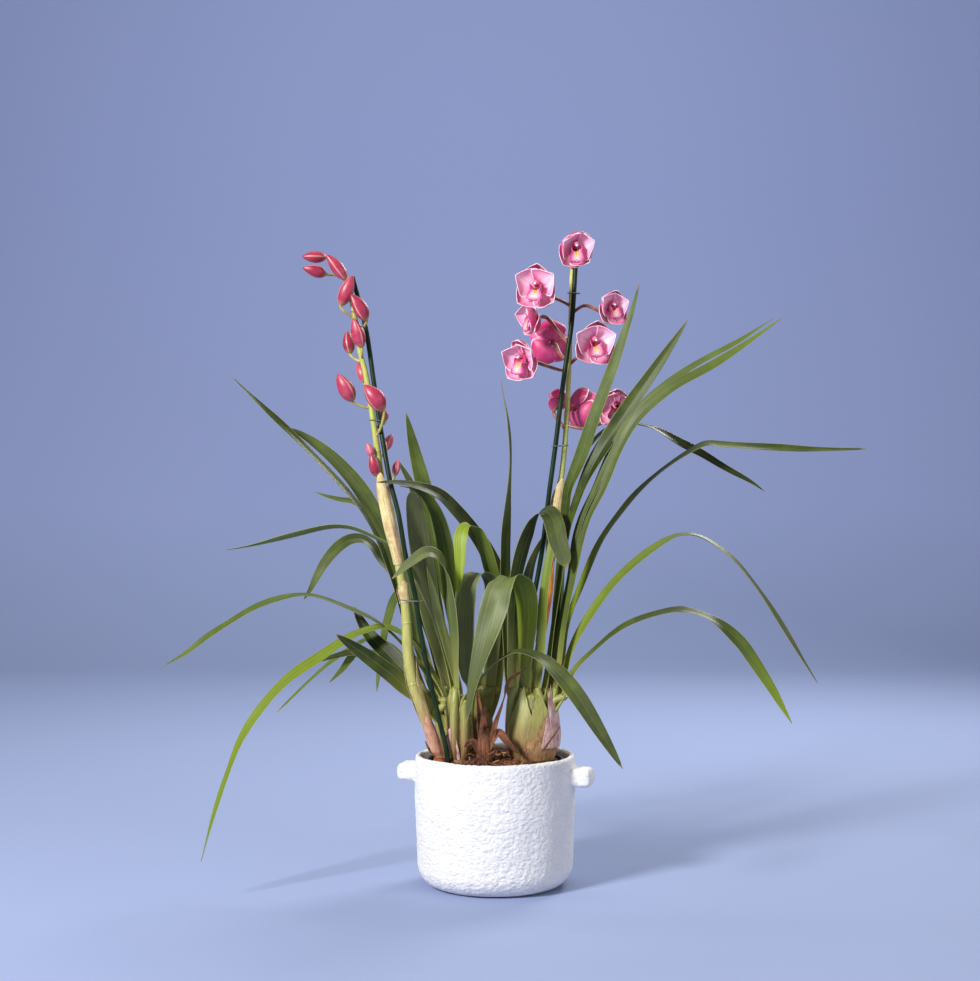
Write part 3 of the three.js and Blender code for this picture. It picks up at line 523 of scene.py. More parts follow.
def makePetal(name, middle, side, margin, vein, deep, throat, deepFrom):
    look = Finish(name, 0.42, Specular_IOR_Level=0.4, Sheen_Weight=0.15)
    place, surface = look.objectPlace(), look.surfacePlace()
    across, along = look.parts(surface)[:2]
    tone = look.mapParts("petalMap")[0]
    fromRib = look.sums("MULTIPLY", look.fromMiddle(across), 2)
    patches = look.noise(place, 75, 3)
    base = look.mixed(look.within(look.plus(fromRib, patches, 0.4), 0.25, 1.1), middle, side)
    # a deep magenta flush spreads from the tip over the sepals
    flush = look.within(look.plus(along, patches, 0.5), deepFrom, deepFrom + 0.7)
    base = look.tinted(base, flush, tone, deep)
    veins = look.noise(look.stretched(surface, (34, 1.7, 1)), 1, 2, 0.5, 0.15)
    base = look.tinted(base, look.within(veins, 0.52, 0.72), 0.45, vein)
    rib = look.within(fromRib, 0.08, 0.02)
    base = look.tinted(base, rib, 0.35, vein)
    foot = look.within(along, 0.34, 0.05)
    base = look.tinted(base, foot, 0.7, throat)
    # the thin pale edge goes right round
    toEdge = look.sums("MAXIMUM", fromRib, look.within(along, 0.2, 1.0))
    edge = look.within(look.plus(toEdge, patches, 0.04), 0.905, 0.975)
    base = look.tinted(base, edge, 0.85, margin)
    return look.done(base, look.plus(veins, look.noise(place, 900, 2), 0.3), 0.22, 0.0004)


def makeLip():
    look = Finish("lipSkin", 0.45, Specular_IOR_Level=0.4, Sheen_Weight=0.1)
    place, surface = look.objectPlace(), look.surfacePlace()
    across, along = look.parts(surface)[:2]
    fromRib = look.sums("MULTIPLY", look.fromMiddle(across), 2)
    patches = look.noise(place, 220, 3)
    base = look.mixed(look.within(look.plus(fromRib, patches, 0.4), 0.35, 1.0), (0.94, 0.60, 0.62),
                      (0.76, 0.08, 0.32))
    # crimson spots, thickest on the front lobe
    spots = look.cells(look.stretched(surface, (9, 13, 1)), 1.6)
    size = look.plus(0.12, look.within(along, 0.45, 0.95), 0.36)
    spot = look.within(look.sums("SUBTRACT", size, spots), -0.02, 0.06)
    base = look.tinted(base, spot, 0.8, (0.30, 0.008, 0.035))
    keelSide = look.within(look.plus(fromRib, patches, 0.12), 0.42, 0.30)
    keelEnd = look.within(along, 0.72, 0.56)
    keel = look.sums("MULTIPLY", keelSide, keelEnd)
    base = look.mixed(keel, base, look.ramp(patches, (0.35, (0.80, 0.22, 0.02)), (0.6, (0.95, 0.60, 0.06))))
    toEdge = look.sums("MAXIMUM", fromRib, look.within(along, 0.5, 1.0))
    frontEdge = look.sums("MULTIPLY", look.within(toEdge, 0.66, 0.9), look.within(along, 0.5, 0.65))
    base = look.tinted(base, frontEdge, 0.85, (0.66, 0.035, 0.22))
    return look.done(base, look.noise(place, 700, 3), 0.3, 0.0004)


def makeFlesh(name, pale, dark, scale, roughness=0.42):
    look = Finish(name, roughness, Specular_IOR_Level=0.45)
    place = look.objectPlace()
    patches = look.noise(place, scale, 3)
    base = look.ramp(patches, (0.35, dark), (0.6, pale))
    return look.done(base, look.noise(place, scale * 4, 3), 0.2, 0.0004)


def makeStake():
    look = Finish("stakeCoat", 0.5, Specular_IOR_Level=0.2)
    place = look.objectPlace()
    scuffs = look.noise(look.stretched(place, (1, 1, 0.12)), 260, 4, 0.65)
    base = look.ramp(scuffs, (0.35, (0.004, 0.012, 0.004)), (0.62, (0.008, 0.030, 0.009)),
                     (0.85, (0.03, 0.07, 0.025)))
    look.put("Roughness", look.within(scuffs, -0.1, 1.3))
    return look.done(base, scuffs, 0.25, 0.0004)


def makeFloor():
    look = Finish("paleFloor", 0.75, Specular_IOR_Level=0.2)
    place = look.objectPlace()
    # the floor is painted darker near the ground than up the wall: painted shade that offsets the key light
    # falling more strongly on the floor
    height = look.plus(look.parts(place)[2], look.noise(place, 3, 2), 0.12)
    look.put("Base Color", look.ramp(height, (0.05, (0.29, 0.35, 0.545)), (0.5, (0.33, 0.395, 0.655))))
    return look.material


finishes = {
    "glaze": makeGlaze(),
    "liner": makeLinerPlastic(),
    "bark": makeBark(),
    "leafUpper": makeLeaf("leafUpper", 0.44, 0.0, (0.13, 0.18, 0.03)),
    "leafUnder": makeLeaf("leafUnder", 0.55, 0.12, (0.24, 0.29, 0.08)),
    "bulb": makeBulbSkin("bulbSkin", False),
    "nettedBulb": makeBulbSkin("nettedBulb", True),
    "sleeve": makeStem("sleeve", (0.36, 0.24, 0.10), (0.165, (0.16, 0.07, 0.03)), (0.195, (0.30, 0.20, 0.08)),
                       (0.225, (0.33, 0.32, 0.09)), (0.262, (0.31, 0.33, 0.08)), (0.285, (0.24, 0.28, 0.05))),
    "mauvePaper": makePaper("mauvePaper", (0.76, 0.56, 0.50), (0.34, 0.14, 0.14)),
    "rosePaper": makePaper("rosePaper", (0.70, 0.42, 0.27), (0.42, 0.15, 0.10)),
    "tanPaper": makePaper("tanPaper", (0.50, 0.31, 0.15), (0.20, 0.09, 0.04)),
    "creamPaper": makePaper("creamPaper", (0.74, 0.62, 0.32), (0.40, 0.25, 0.09), 0.6),
    "dryLeaf": makePaper("dryLeaf", (0.27, 0.105, 0.05), (0.025, 0.009, 0.006)),
    "orangeLeaf": makePaper("orangeLeaf", (0.86, 0.28, 0.06), (0.50, 0.16, 0.04)),
    "budStem": makeStem(
        "budStem", (0.48, 0.32, 0.13), (0.18, (0.52, 0.13, 0.05)), (0.205, (0.46, 0.29, 0.13)),
        (0.27, (0.42, 0.41, 0.12)), (0.40, (0.44, 0.44, 0.12)), (0.44, (0.55, 0.44, 0.20)),
        (0.54, (0.44, 0.47, 0.10)), (0.80, (0.40, 0.44, 0.09))),
    "flowerStem": makeStem(
        "flowerStem", (0.30, 0.30, 0.07), (0.18, (0.40, 0.42, 0.13)), (0.40, (0.36, 0.40, 0.10)),
        (0.60, (0.50, 0.52, 0.14)), (0.80, (0.58, 0.58, 0.18))),
    "bud": makeBudSkin(),
    "pedicel": makeFlesh("pedicel", (0.30, 0.12, 0.06), (0.17, 0.03, 0.03), 160),
    "budStalk": makeFlesh("budStalk", (0.46, 0.42, 0.11), (0.34, 0.24, 0.08), 160),
    "petalFace": makePetal("petalFace", (0.98, 0.66, 0.79), (0.93, 0.28, 0.50), (0.99, 0.86, 0.91),
                           (0.82, 0.14, 0.38), (0.66, 0.03, 0.21), (0.72, 0.08, 0.27), 0.5),
    "petalBack": makePetal("petalBack", (0.88, 0.22, 0.45), (0.70, 0.05, 0.24), (0.98, 0.72, 0.83),
                           (0.56, 0.02, 0.17), (0.46, 0.004, 0.10), (0.60, 0.05, 0.17), 0.05),
    "lip": makeLip(),
    "column": makeFlesh("columnFlesh", (0.70, 0.20, 0.34), (0.45, 0.03, 0.12), 140),
    "throat": makeFlesh("throatFlesh", (0.34, 0.012, 0.04), (0.16, 0.004, 0.016), 200),
    "anther": makeFlesh("antherCap", (0.93, 0.88, 0.80), (0.88, 0.72, 0.68), 240),
    "stake": makeStake(),
    "wire": makeFlesh("tieWire", (0.16, 0.20, 0.15), (0.09, 0.11, 0.085), 300, 0.4),
    "floor": makeFloor(),
}
print("finishes made", len(finishes))


def dressed(piece, finish, angle=None):
    piece.data.materials.append(finishes[finish])
    shadeSmooth(piece, angle)
    return piece

# the pot: thrown round, its two lugs joined on, then roughened all over

potShape = {
    "radius": 0.100, "height": 0.163, "wall": 0.009, "floor": 0.012, "corner": 0.027, "footInset": 0.003,
    "lugReach": 0.024, "lugWidth": 0.040, "lugHeight": 0.023, "lugTop": 0.149, "lugTurn": -14,
    "lugSunk": 0.006, "lugRound": 0.007, "sides": 128, "grain": 0.0022, "unevenness": 0.0013,
}


def makeLug(side):
    shape = potShape
    inner = shape["radius"] - shape["lugSunk"]
    reach = shape["lugReach"] + shape["lugSunk"]
    middle = (inner + reach / 2, 0, shape["lugTop"] - shape["lugHeight"] / 2)
    bpy.ops.object.select_all(action="DESELECT")
    size = (reach, shape["lugWidth"], shape["lugHeight"])
    bpy.ops.mesh.primitive_cube_add(size=1, location=middle, scale=size)
    piece = bpy.context.object
    bpy.ops.object.transform_apply(location=True, rotation=True, scale=True)
    applyModifier(piece, "BEVEL", width=shape["lugRound"], segments=4, affect="EDGES", limit_method="NONE")
    piece.data.transform(Matrix.Rotation((shape["lugTurn"] + 180 * side) * degree, 4, "Z"))
    return piece


def makePot():
    shape = potShape
    radius, height, wall, corner = shape["radius"], shape["height"], shape["wall"], shape["corner"]
    foot = radius - shape["footInset"] - corner
    innerCorner = corner - wall
    innerFlat = radius - shape["footInset"] - wall - innerCorner
    profile = [(0.001, 0.0), (foot - 0.006, 0.0)]
    profile += arcProfile(foot, corner, corner, -78, 0, 8)
    profile += [(blend(radius - shape["footInset"], radius, i / 6), blend(corner, height * 0.6, i / 6))
                for i in range(1, 7)]
    profile += [(radius, blend(height * 0.6, height - wall / 2, i / 4)) for i in range(1, 4)]
    profile += arcProfile(radius - wall / 2, height - wall / 2, wall / 2, 0, 180, 6)
    profile += [(blend(radius - wall, innerFlat + innerCorner, i / 8),
                 blend(height - wall / 2, shape["floor"] + innerCorner, i / 8)) for i in range(1, 8)]
    profile += arcProfile(innerFlat, shape["floor"] + innerCorner, innerCorner, 0, -90, 4)
    profile += [(0.001, shape["floor"])]
    bowl = turned("pot", profile, shape["sides"])
    for side in (0, 1):
        lug = makeLug(side)
        applyModifier(bowl, "BOOLEAN", operation="UNION", object=lug, solver="EXACT")
        discard(lug)
    applyModifier(bowl, "REMESH", mode="VOXEL", voxel_size=shape["grain"], use_smooth_shade=True)
    applyModifier(bowl, "SMOOTH", factor=0.5, iterations=4)
    # hand-made unevenness and the rough skin, but a level foot
    outward = [vertex.normal.copy() for vertex in bowl.data.vertices]
    for vertex, normal in zip(bowl.data.vertices, outward):
        spot = vertex.co.copy()
        broad = noise.noise(spot * 22) * 0.6 + noise.noise(spot * 60) * 0.25
        rough = noise.noise(spot * 210) * 0.32 + noise.noise(spot * 420) * 0.14
        keep = smoothStep(0.0, 0.012, spot.z)
        vertex.co = spot + normal * ((broad + rough) * shape["unevenness"] - 0.0004) * keep
    bowl.data.materials.clear()
    return finishPiece(dressed(bowl, "glaze"), "glaze", "pot")


makePot()
print("pot done")

# the plastic nursery pot inside it, with a rolled rim

linerShape = {
    "radius": 0.085, "foot": 0.064, "bottom": 0.0125, "inside": 0.0145, "top": 0.156, "shoulder": 0.008,
    "wall": 0.0018, "rim": 0.003, "sides": 96,
}


def makeLiner():
    shape = linerShape
    radius, top, wall = shape["radius"], shape["top"], shape["wall"]
    profile = [(0.001, shape["bottom"]), (shape["foot"] - 0.002, shape["bottom"]),
               (shape["foot"], shape["bottom"] + 0.002)]
    shoulder = top - shape["shoulder"]
    profile += [(blend(shape["foot"], radius, i / 10), blend(shape["bottom"], shoulder, i / 10))
                for i in range(1, 11)]
    profile += [(radius + shape["rim"] * 0.8, top - 0.0075), (radius + shape["rim"], top - 0.006),
                (radius + shape["rim"], top - 0.001), (radius + shape["rim"] - 0.001, top),
                (radius - wall + 0.001, top), (radius - wall, top - 0.001)]
    profile += [(blend(radius - wall, shape["foot"] - wall, i / 8),
                 blend(shoulder, shape["inside"], i / 8)) for i in range(1, 9)]
    profile += [(0.001, shape["bottom"] + wall)]
    piece = turned("nurseryPot", profile, shape["sides"])
    return finishPiece(dressed(piece, "liner", 35), "liner_plastic", "nursery_pot")


makeLiner()

# the growing mix: a rough mound with bark chips and fibre strewn over it

mixShape = {
    "rim": 0.0815, "foot": 0.061, "bottom": 0.0152, "top": 0.156, "mound": 0.004, "rough": 0.0022,
    "rings": 26, "around": 72,
    "chips": 430, "chipLong": (5, 13), "chipWide": (2.5, 6), "chipHigh": (1.6, 3.6),
    "fibres": 150, "fibreStep": 0.005, "fibresFrom": 0.070, "fibresWithin": 0.074, "seed": 11,
}


def moundHeight(x, y):
    share = math.hypot(x, y) / mixShape["rim"]
    rough = noise.noise(Vector((x, y, 0)) * 90) * mixShape["rough"]
    return (mixShape["top"] + mixShape["mound"] * (1 - share ** 2) - 0.004 * share ** 6 + rough
            - mixShape["rough"])


def makeChip(name, dice):
    bpy.ops.object.select_all(action="DESELECT")
    bpy.ops.mesh.primitive_cube_add(size=1)
    chip = bpy.context.object
    chip.name = name
    bpy.ops.object.mode_set(mode="EDIT")
    bpy.ops.mesh.subdivide(number_cuts=1)
    bpy.ops.object.mode_set(mode="OBJECT")
    for vertex in chip.data.vertices:
        push = 1 - 0.28 * max(0, vertex.co.length - 0.5)
        vertex.co = Vector([part * push + dice.uniform(-0.09, 0.09) for part in vertex.co])
    return chip


def makeMix():
    shape = mixShape
    dice = random.Random(shape["seed"])
    rings = shape["rings"]

    def place(u, row):
        turn = u * math.pi
        if row <= rings:
            radius = shape["rim"] * row / rings
            x, y = radius * math.cos(turn), radius * math.sin(turn)
            return Vector((x, y, moundHeight(x, y)))
        down = (row - rings) / 6
        radius = blend(shape["rim"], shape["foot"], min(down, 1)) if row < rings + 7 else 0
        height = blend(shape["top"] - 0.006, shape["bottom"], min(down, 1))
        return Vector((radius * math.cos(turn), radius * math.sin(turn), height))

    body = gridPiece("growingMix", shape["around"], rings + 7, place)
    closeSeams(body)
    paintMap(body, "chipMap", lambda vertex: (0.12, 0, 0, 1))
    kinds = [makeChip("chip%d" % i, dice) for i in range(4)]
    strewn = [body]
    for i in range(shape["chips"]):
        radius = math.sqrt(dice.random()) * (shape["rim"] - 0.006)
        bearing = dice.uniform(0, 2 * math.pi)
        x, y = radius * math.cos(bearing), radius * math.sin(bearing)
        size = Vector([dice.uniform(*shape[way]) for way in ("chipLong", "chipWide", "chipHigh")]) * mm
        turn = Matrix.Rotation(dice.uniform(0, math.pi), 4, "Z")
        turn = turn @ Matrix.Rotation(dice.uniform(-0.5, 0.5), 4, "Y")
        turn = turn @ Matrix.Rotation(dice.uniform(-0.5, 0.5), 4, "X")
        spot = Matrix.Translation((x, y, moundHeight(x, y) + dice.uniform(-0.0006, 0.0022)))
        chip = copyOf(kinds[i % len(kinds)], spot @ turn @ Matrix.Diagonal((*size, 1)))
        tone = dice.uniform(0.1, 0.75) if dice.random() < 0.86 else dice.uniform(0.8, 1.0)
        paintMap(chip, "chipMap", lambda vertex, tone=tone: (tone, 0, 0, 1))
        strewn.append(chip)
    for i in range(shape["fibres"]):
        bearing, radius = dice.uniform(0, 2 * math.pi), math.sqrt(dice.random()) * shape["fibresFrom"]
        heading, bend = dice.uniform(0, 2 * math.pi), dice.uniform(-1.4, 1.4)
        x, y = radius * math.cos(bearing), radius * math.sin(bearing)
        points = []
        for step in range(4):
            height = moundHeight(x, y) / mm + 2.2 + 4.0 * math.sin(step) * dice.random()
            points.append((x / mm, y / mm, height))
            x += math.cos(heading) * shape["fibreStep"]
            y += math.sin(heading) * shape["fibreStep"]
            heading += bend
            if math.hypot(x, y) > shape["fibresWithin"]:
                break
        if len(points) > 2:
            fibre = tube("fibre", points, [0.5, 0.7, 0.3], sides=4, steps=5)
            tone = dice.choice((0.3, 0.5, 0.92))
            paintMap(fibre, "chipMap", lambda vertex, tone=tone: (tone, 0, 0, 1))
            strewn.append(fibre)
    discard(*kinds)
    for piece in strewn:
        piece.data.materials.clear()
        piece.data.materials.append(finishes["bark"])
    return finishPiece(joinPieces("growingMix", strewn), "bark", "growing_mix")


makeMix()
print("growing mix done")

# every leaf's width, colours, turning and route, in millimetres. A tone is dark at 0 and bright at 1, and
# paints the shade on each part of a leaf and the light shining through it, on top of the leaf's own green;
# the silvery share paints a sheen together with the leaf's waxy bloom.
# One number holds for the whole leaf, a list runs from its foot to its tip.

growths = {
    "growth_left_front": dict(bulb=dict(x=-46, y=-14, wide=15, deep=14, top=226), leaves=[
        dict(width=17, tone=0.62, sheenAndBloom=0.3, rolls=[-40, -30, -20, 10, 20, 28, 30, 25], points=[
            (-53, -14, 241), (-67, -8, 304), (-90, -2, 360), (-119, 2, 413), (-140, 2, 425), (-175, 2, 441),
            (-193, 2, 444), (-212, 0, 443), (-255, -6, 433), (-304, -14, 421), (-333, -22, 417)]),
        dict(width=17, widest=0.65, tone=0.5, sheenAndBloom=0.08,
             rolls=[-30, -20, -12, -10, -12, -30, -40, -35], points=[
            (-67, -4, 230), (-94, 4, 272), (-122, 8, 303), (-150, 10, 326), (-179, 10, 340), (-212, 4, 354),
            (-231, -1, 359), (-255, -7, 358), (-293, -20, 347), (-332, -32, 324), (-355, -40, 309),
            (-375, -48, 293), (-405, -62, 275)]),
        dict(width=19, tone=0.75, sheenAndBloom=0.05, rolls=[-30, -20, -18, -25, -40, -40, -35, -30, -30], points=[
            (-61, -2, 227), (-84, 8, 272), (-108, 14, 303), (-138, 12, 319), (-163, 8, 314), (-181, 0, 307),
            (-216, -21, 284), (-251, -41, 261), (-280, -56, 230), (-305, -70, 192), (-321, -82, 149),
            (-336, -91, 102), (-350, -102, 48)]),
        dict(width=22, tone=0.05, sheenAndBloom=0, rolls=[-60, -75, -75], points=[
            (-69, 2, 216), (-88, 6, 232), (-113, 14, 261), (-136, 24, 285), (-161, 34, 310),
            (-181, 44, 344)]),
        dict(width=22, tone=0.03, sheenAndBloom=0, rolls=[-50, -75, -80], points=[
            (-76, -4, 214), (-91, -2, 229), (-112, -6, 246), (-130, -12, 263), (-164, -24, 290),
            (-196, -36, 314)]),
        dict(width=24, foot=0.45, tone=[0.35, 0.3, 0.25], sheenAndBloom=[0.1, 0.25, 0.85],
             rolls=[22, 24, 30, 34, 10, -31, -52, -60, -60], points=[
            (-49, -22, 244), (-52, -34, 306), (-56, -40, 350), (-60, -44, 386), (-68, -50, 408),
            (-82, -60, 415), (-101, -72, 404), (-124, -84, 384)]),
        dict(width=25, widest=0.65, tone=[0.3, 0.1, 0.12], sheenAndBloom=[0.1, 0.3, 0.15],
             rolls=[30, 10, -3, -32, -62, -75, -75], points=[
            (-35, -26, 233), (-19, -46, 257), (2, -60, 281), (26, -74, 295), (45, -84, 293), (59, -90, 286),
            (72, -96, 275), (86, -104, 260), (102, -112, 239), (120, -120, 211), (136, -127, 185),
            (149, -132, 164)]),
        dict(width=14, widest=0.7, tone=0.6, sheenAndBloom=0.6, rolls=[-60, -60], points=[
            (-46, -10, 240), (-58, -8, 290), (-72, -6, 340), (-85, -6, 396)]),
    ]),
    "growth_left_back": dict(bulb=dict(x=-58, y=34, wide=14, deep=14, top=226), leaves=[
        dict(width=16, widest=0.7, tone=[0.5, 0.2, 0.1], sheenAndBloom=[0, 0.05],
             rolls=[-40, -30, -20, -20, -25, -45, -40], points=[
            (-85, 34, 225), (-105, 33, 283), (-126, 31, 364), (-151, 27, 434), (-167, 24, 462),
            (-183, 21, 484), (-220, 14, 525), (-257, 8, 563), (-300, 2, 604), (-329, 0, 632)]),
        dict(width=24, tone=0.35, sheenAndBloom=[0.15, 0.3], rolls=[-70, -80, -80, -75, -60], points=[
            (-77, 40, 237), (-98, 46, 300), (-114, 50, 360), (-134, 52, 420), (-153, 50, 459),
            (-175, 46, 497), (-210, 42, 535), (-247, 36, 562), (-269, 32, 571)]),
        dict(width=17, tone=[0.55, 0.35], sheenAndBloom=0.05, rolls=[-40, -40, -35, -35, -50, -50], points=[
            (-70, 48, 242), (-86, 64, 311), (-112, 84, 387), (-142, 96, 438), (-183, 106, 474),
            (-203, 108, 478), (-222, 110, 483), (-239, 111, 489)]),
        dict(width=22, widest=0.7, tone=[0.5, 0.22, 0.18], sheenAndBloom=0.05,
             rolls=[-35, -30, -30, -35, -60, -75, -75], points=[
            (-64, 46, 236), (-83, 62, 298), (-112, 72, 362), (-148, 69, 401), (-158, 67, 418),
            (-170, 63, 427), (-184, 59, 427), (-198, 54, 419), (-213, 48, 403), (-225, 42, 383),
            (-234, 33, 364), (-242, 24, 351)]),
        dict(width=20, tone=0.45, sheenAndBloom=0.1, rolls=[-30, -30, -40, -50], points=[
            (-60, 58, 235), (-76, 88, 296), (-101, 108, 343), (-125, 116, 354), (-140, 114, 318),
            (-149, 106, 268), (-154, 98, 228)]),
        dict(width=24, widest=0.75, tone=[0.4, 0.2], sheenAndBloom=[0.1, 0.3], rolls=[-45, -50, -50], points=[
            (-54, 36, 238), (-65, 44, 288), (-75, 50, 339), (-85, 56, 393), (-94, 60, 440), (-104, 62, 488),
            (-126, 64, 531)]),
        dict(width=16, tone=0.6, sheenAndBloom=0.1, rolls=[-20, -20, -20], points=[
            (-83, 46, 217), (-107, 66, 257), (-133, 88, 286), (-163, 104, 295), (-190, 116, 281),
            (-220, 126, 260), (-289, 140, 196)]),
        dict(width=16, tone=0.12, sheenAndBloom=0, rolls=[-20, -30, -45, -45], points=[
            (-88, 42, 214), (-115, 54, 243), (-143, 68, 270), (-175, 82, 281), (-209, 95, 274),
            (-232, 104, 266)]),
        dict(width=16, tone=0.62, sheenAndBloom=0.05, rolls=[-25, -30, -45, -60, -60], points=[
            (-84, 38, 218), (-112, 56, 250), (-145, 80, 272), (-179, 94, 279), (-189, 101, 270),
            (-198, 106, 258), (-217, 112, 238)]),
        dict(width=29, widest=0.7, blunt=9, tone=[0.25, 0.15], sheenAndBloom=[0.3, 0.6],
             rolls=[-80, -85, -85], points=[
            (-50, 26, 238), (-66, 24, 282), (-80, 24, 330), (-88, 24, 380), (-95, 22, 425), (-101, 18, 465),
            (-106, 14, 489)]),
    ]),
    "growth_centre_back": dict(bulb=dict(x=-18, y=42, wide=15, deep=14, top=228), leaves=[
        dict(width=27, tone=[0.55, 0.42], sheenAndBloom=0.05, rolls=[-70, -85, -85], points=[
            (-19, 46, 236), (-40, 64, 298), (-59, 82, 361), (-78, 94, 426), (-92, 100, 491),
            (-105, 102, 543), (-116, 102, 592)]),
        dict(width=28, foot=0.42, tone=[0.8, 0.72, 0.45, 0.1], sheenAndBloom=0, rolls=[80, 78, 70, 50, 0], points=[
            (-28, 38, 237), (-42, 46, 287), (-54, 52, 350), (-62, 54, 401), (-71, 50, 447), (-85, 42, 478),
            (-102, 34, 491), (-121, 28, 496)]),
        dict(width=24, widest=0.75, foot=0.42, tone=[0.4, 0.5, 0.6, 0.95, 1], sheenAndBloom=0,
             rolls=[50, 55, 60, 60, 58, 52, 36, -20, -72, -82, -80, -78], points=[
            (2, 28, 238), (6, 24, 302), (4, 18, 352), (-6, 8, 390), (-14, 0, 418), (-24, -8, 441),
            (-35, -16, 447), (-42, -22, 434), (-43, -26, 408), (-44, -28, 382), (-47, -28, 358)]),
        dict(width=27, blunt=9, tone=[0.4, 0.35, 0.45, 0.55], sheenAndBloom=[0.2, 0.7, 0.8],
             rolls=[60, 62, 66, 65, 45, 5, -60, -80, -82, -80, -75], points=[
            (-9, 20, 239), (-4, 18, 304), (-3, 12, 350), (-6, 4, 376), (-18, -4, 386), (-31, -11, 378),
            (-37, -15, 352), (-38, -17, 315), (-36, -17, 280), (-34, -16, 248)]),
    ]),
    "growth_right_front": dict(bulb=dict(x=46, y=-19, wide=30, deep=22, top=228), leaves=[
        dict(width=38, widest=0.45, foot=0.36, tone=[0.9, 0.95, 0.95, 0.6, 0.4, 0.25, 0.2],
             sheenAndBloom=[0, 0, 0.1, 0.6, 0.5, 0.35],
             rolls=[32, 34, 42, 52, 58, 45, 0, -50, -75, -62, -45, -30, -25], points=[
            (36, -18, 243), (36, -18, 297), (37, -19, 330), (35, -21, 358), (29, -30, 376), (18, -46, 383),
            (8, -60, 374), (0, -66, 350), (-8, -70, 322), (-17, -73, 290), (-26, -74, 256),
            (-35, -72, 207)]),
        dict(width=27, widest=0.75, foot=0.45, blunt=12, tone=[0.5, 0.12, 0.05, 0.1, 0.3],
             sheenAndBloom=[0, 0, 0.1, 0.45],
             rolls=[50, 45, 40, 38, 45, 38, 20, -5, -60, -78, -80, -78, -75], points=[
            (23, -18, 243), (22, -14, 305), (25, -12, 366), (34, -14, 412), (42, -17, 436), (49, -21, 453),
            (57, -26, 463), (65, -30, 462), (72, -34, 449), (76, -38, 430), (81, -41, 415), (87, -43, 396)]),
        dict(width=18, foot=0.6, tone=[0.5, 0.4, 0.3], sheenAndBloom=[0.2, 0.3],
             rolls=[-45, -50, -55, -55, -45, -25, -12, -12, -10], points=[
            (18, -14, 243), (14, -10, 304), (12, -6, 366), (12, -4, 432), (15, 0, 476), (18, 4, 528),
            (16, 6, 572), (7, 6, 630)]),
        dict(width=20, widest=0.62, tone=[0.3, 0.12, 0.4, 0.4], sheenAndBloom=[0, 0.05, 0.1],
             rolls=[-50, -40, -35, -60, -65, -60], points=[
            (68, -8, 242), (74, -5, 304), (80, -4, 378), (87, -6, 444), (91, -10, 490), (98, -14, 510),
            (106, -18, 530), (120, -26, 574), (139, -32, 626), (158, -38, 681), (168, -40, 711),
            (176, -42, 743)]),
        dict(width=24, keel=0.32, widest=0.7, tone=[0.95, 0.5, 0.08, 0.12, 0.3, 0.25],
             sheenAndBloom=[0.15, 0.05, 0, 0.2, 0.25], rolls=[-30, -20, -15, -25, -65, -80, -80, -75], points=[
            (63, -18, 243), (71, -18, 305), (80, -19, 366), (93, -21, 444), (108, -24, 491), (121, -25, 521),
            (149, -26, 568), (168, -27, 598), (186, -28, 624), (204, -28, 650), (225, -27, 681),
            (237, -26, 700)]),
        dict(width=17, widest=0.75, tone=[0.6, 0.35, 0.35, 0.75], sheenAndBloom=[0.1, 0.3, 0.3, 0],
             rolls=[-40, -35, -35, -35, -45, -60, -60, -50], points=[
            (74, -22, 243), (84, -26, 318), (98, -30, 392), (106, -33, 429), (116, -36, 460),
            (131, -40, 491), (152, -45, 543), (176, -46, 582), (216, -45, 616), (262, -42, 641),
            (303, -38, 667), (351, -34, 701)]),
        dict(width=15, widest=0.75, tone=[0.5, 0.25, 0.35, 0.65], sheenAndBloom=[0.1, 0.35, 0.3, 0.05],
             rolls=[-40, -35, -35, -35, -40, -50, -50, -45], points=[
            (71, -12, 242), (80, -16, 318), (94, -20, 392), (99, -24, 429), (108, -28, 460), (123, -32, 491),
            (146, -35, 543), (169, -36, 582), (208, -37, 618), (242, -37, 642), (300, -36, 674),
            (342, -34, 702)]),
        dict(width=19, tone=[0.85, 0.68, 0.45, 0.4], sheenAndBloom=[0, 0.1, 0.6, 0.7],
             rolls=[-38, -38, -36, -25, -10, -10, -20, -40, -40], points=[
            (80, -12, 238), (94, -16, 293), (117, -22, 336), (147, -28, 377), (184, -35, 411),
            (217, -39, 432), (235, -41, 436), (253, -43, 432), (289, -46, 407), (320, -48, 369),
            (356, -51, 314), (374, -52, 284), (392, -54, 255)]),
        dict(width=21, widest=0.75, tone=[0.7, 0.3, 0.12, 0.5, 1], sheenAndBloom=[0, 0.05, 0.1, 0],
             rolls=[-25, -20, -18, -15, -25, -15, -60, -80, -80, -75], points=[
            (85, -24, 236), (95, -31, 266), (122, -39, 295), (158, -49, 325), (200, -59, 341),
            (223, -64, 345), (241, -67, 342), (262, -71, 334), (282, -75, 319), (297, -78, 304),
            (309, -80, 287), (332, -85, 251), (344, -86, 230), (355, -88, 211)]),
        dict(width=17, foot=0.6, tone=[0.85, 0.8, 0.7], sheenAndBloom=0.3, rolls=[-40, -45, -45], points=[
            (53, -24, 244), (57, -26, 293), (59, -28, 342), (64, -28, 389), (71, -26, 428), (80, -24, 468)]),
    ]),
    "growth_right_back": dict(bulb=dict(x=53, y=44, wide=15, deep=13, top=229), leaves=[
        dict(width=25, tone=[0.45, 0.06, 0.02], sheenAndBloom=[0, 0.03], rolls=[-70, -60, -50, -40, -40], points=[
            (29, 42, 237), (24, 42, 301), (14, 42, 350), (2, 41, 385), (-16, 36, 420), (-32, 28, 443),
            (-51, 16, 466), (-69, 4, 484), (-89, -10, 493), (-109, -22, 498), (-127, -32, 500),
            (-145, -40, 500)]),
        dict(width=21, tone=[0.1, 0], sheenAndBloom=0, rolls=[60, 60, 50], points=[
            (39, 46, 237), (35, 48, 301), (38, 50, 351), (48, 50, 400), (63, 50, 434)]),
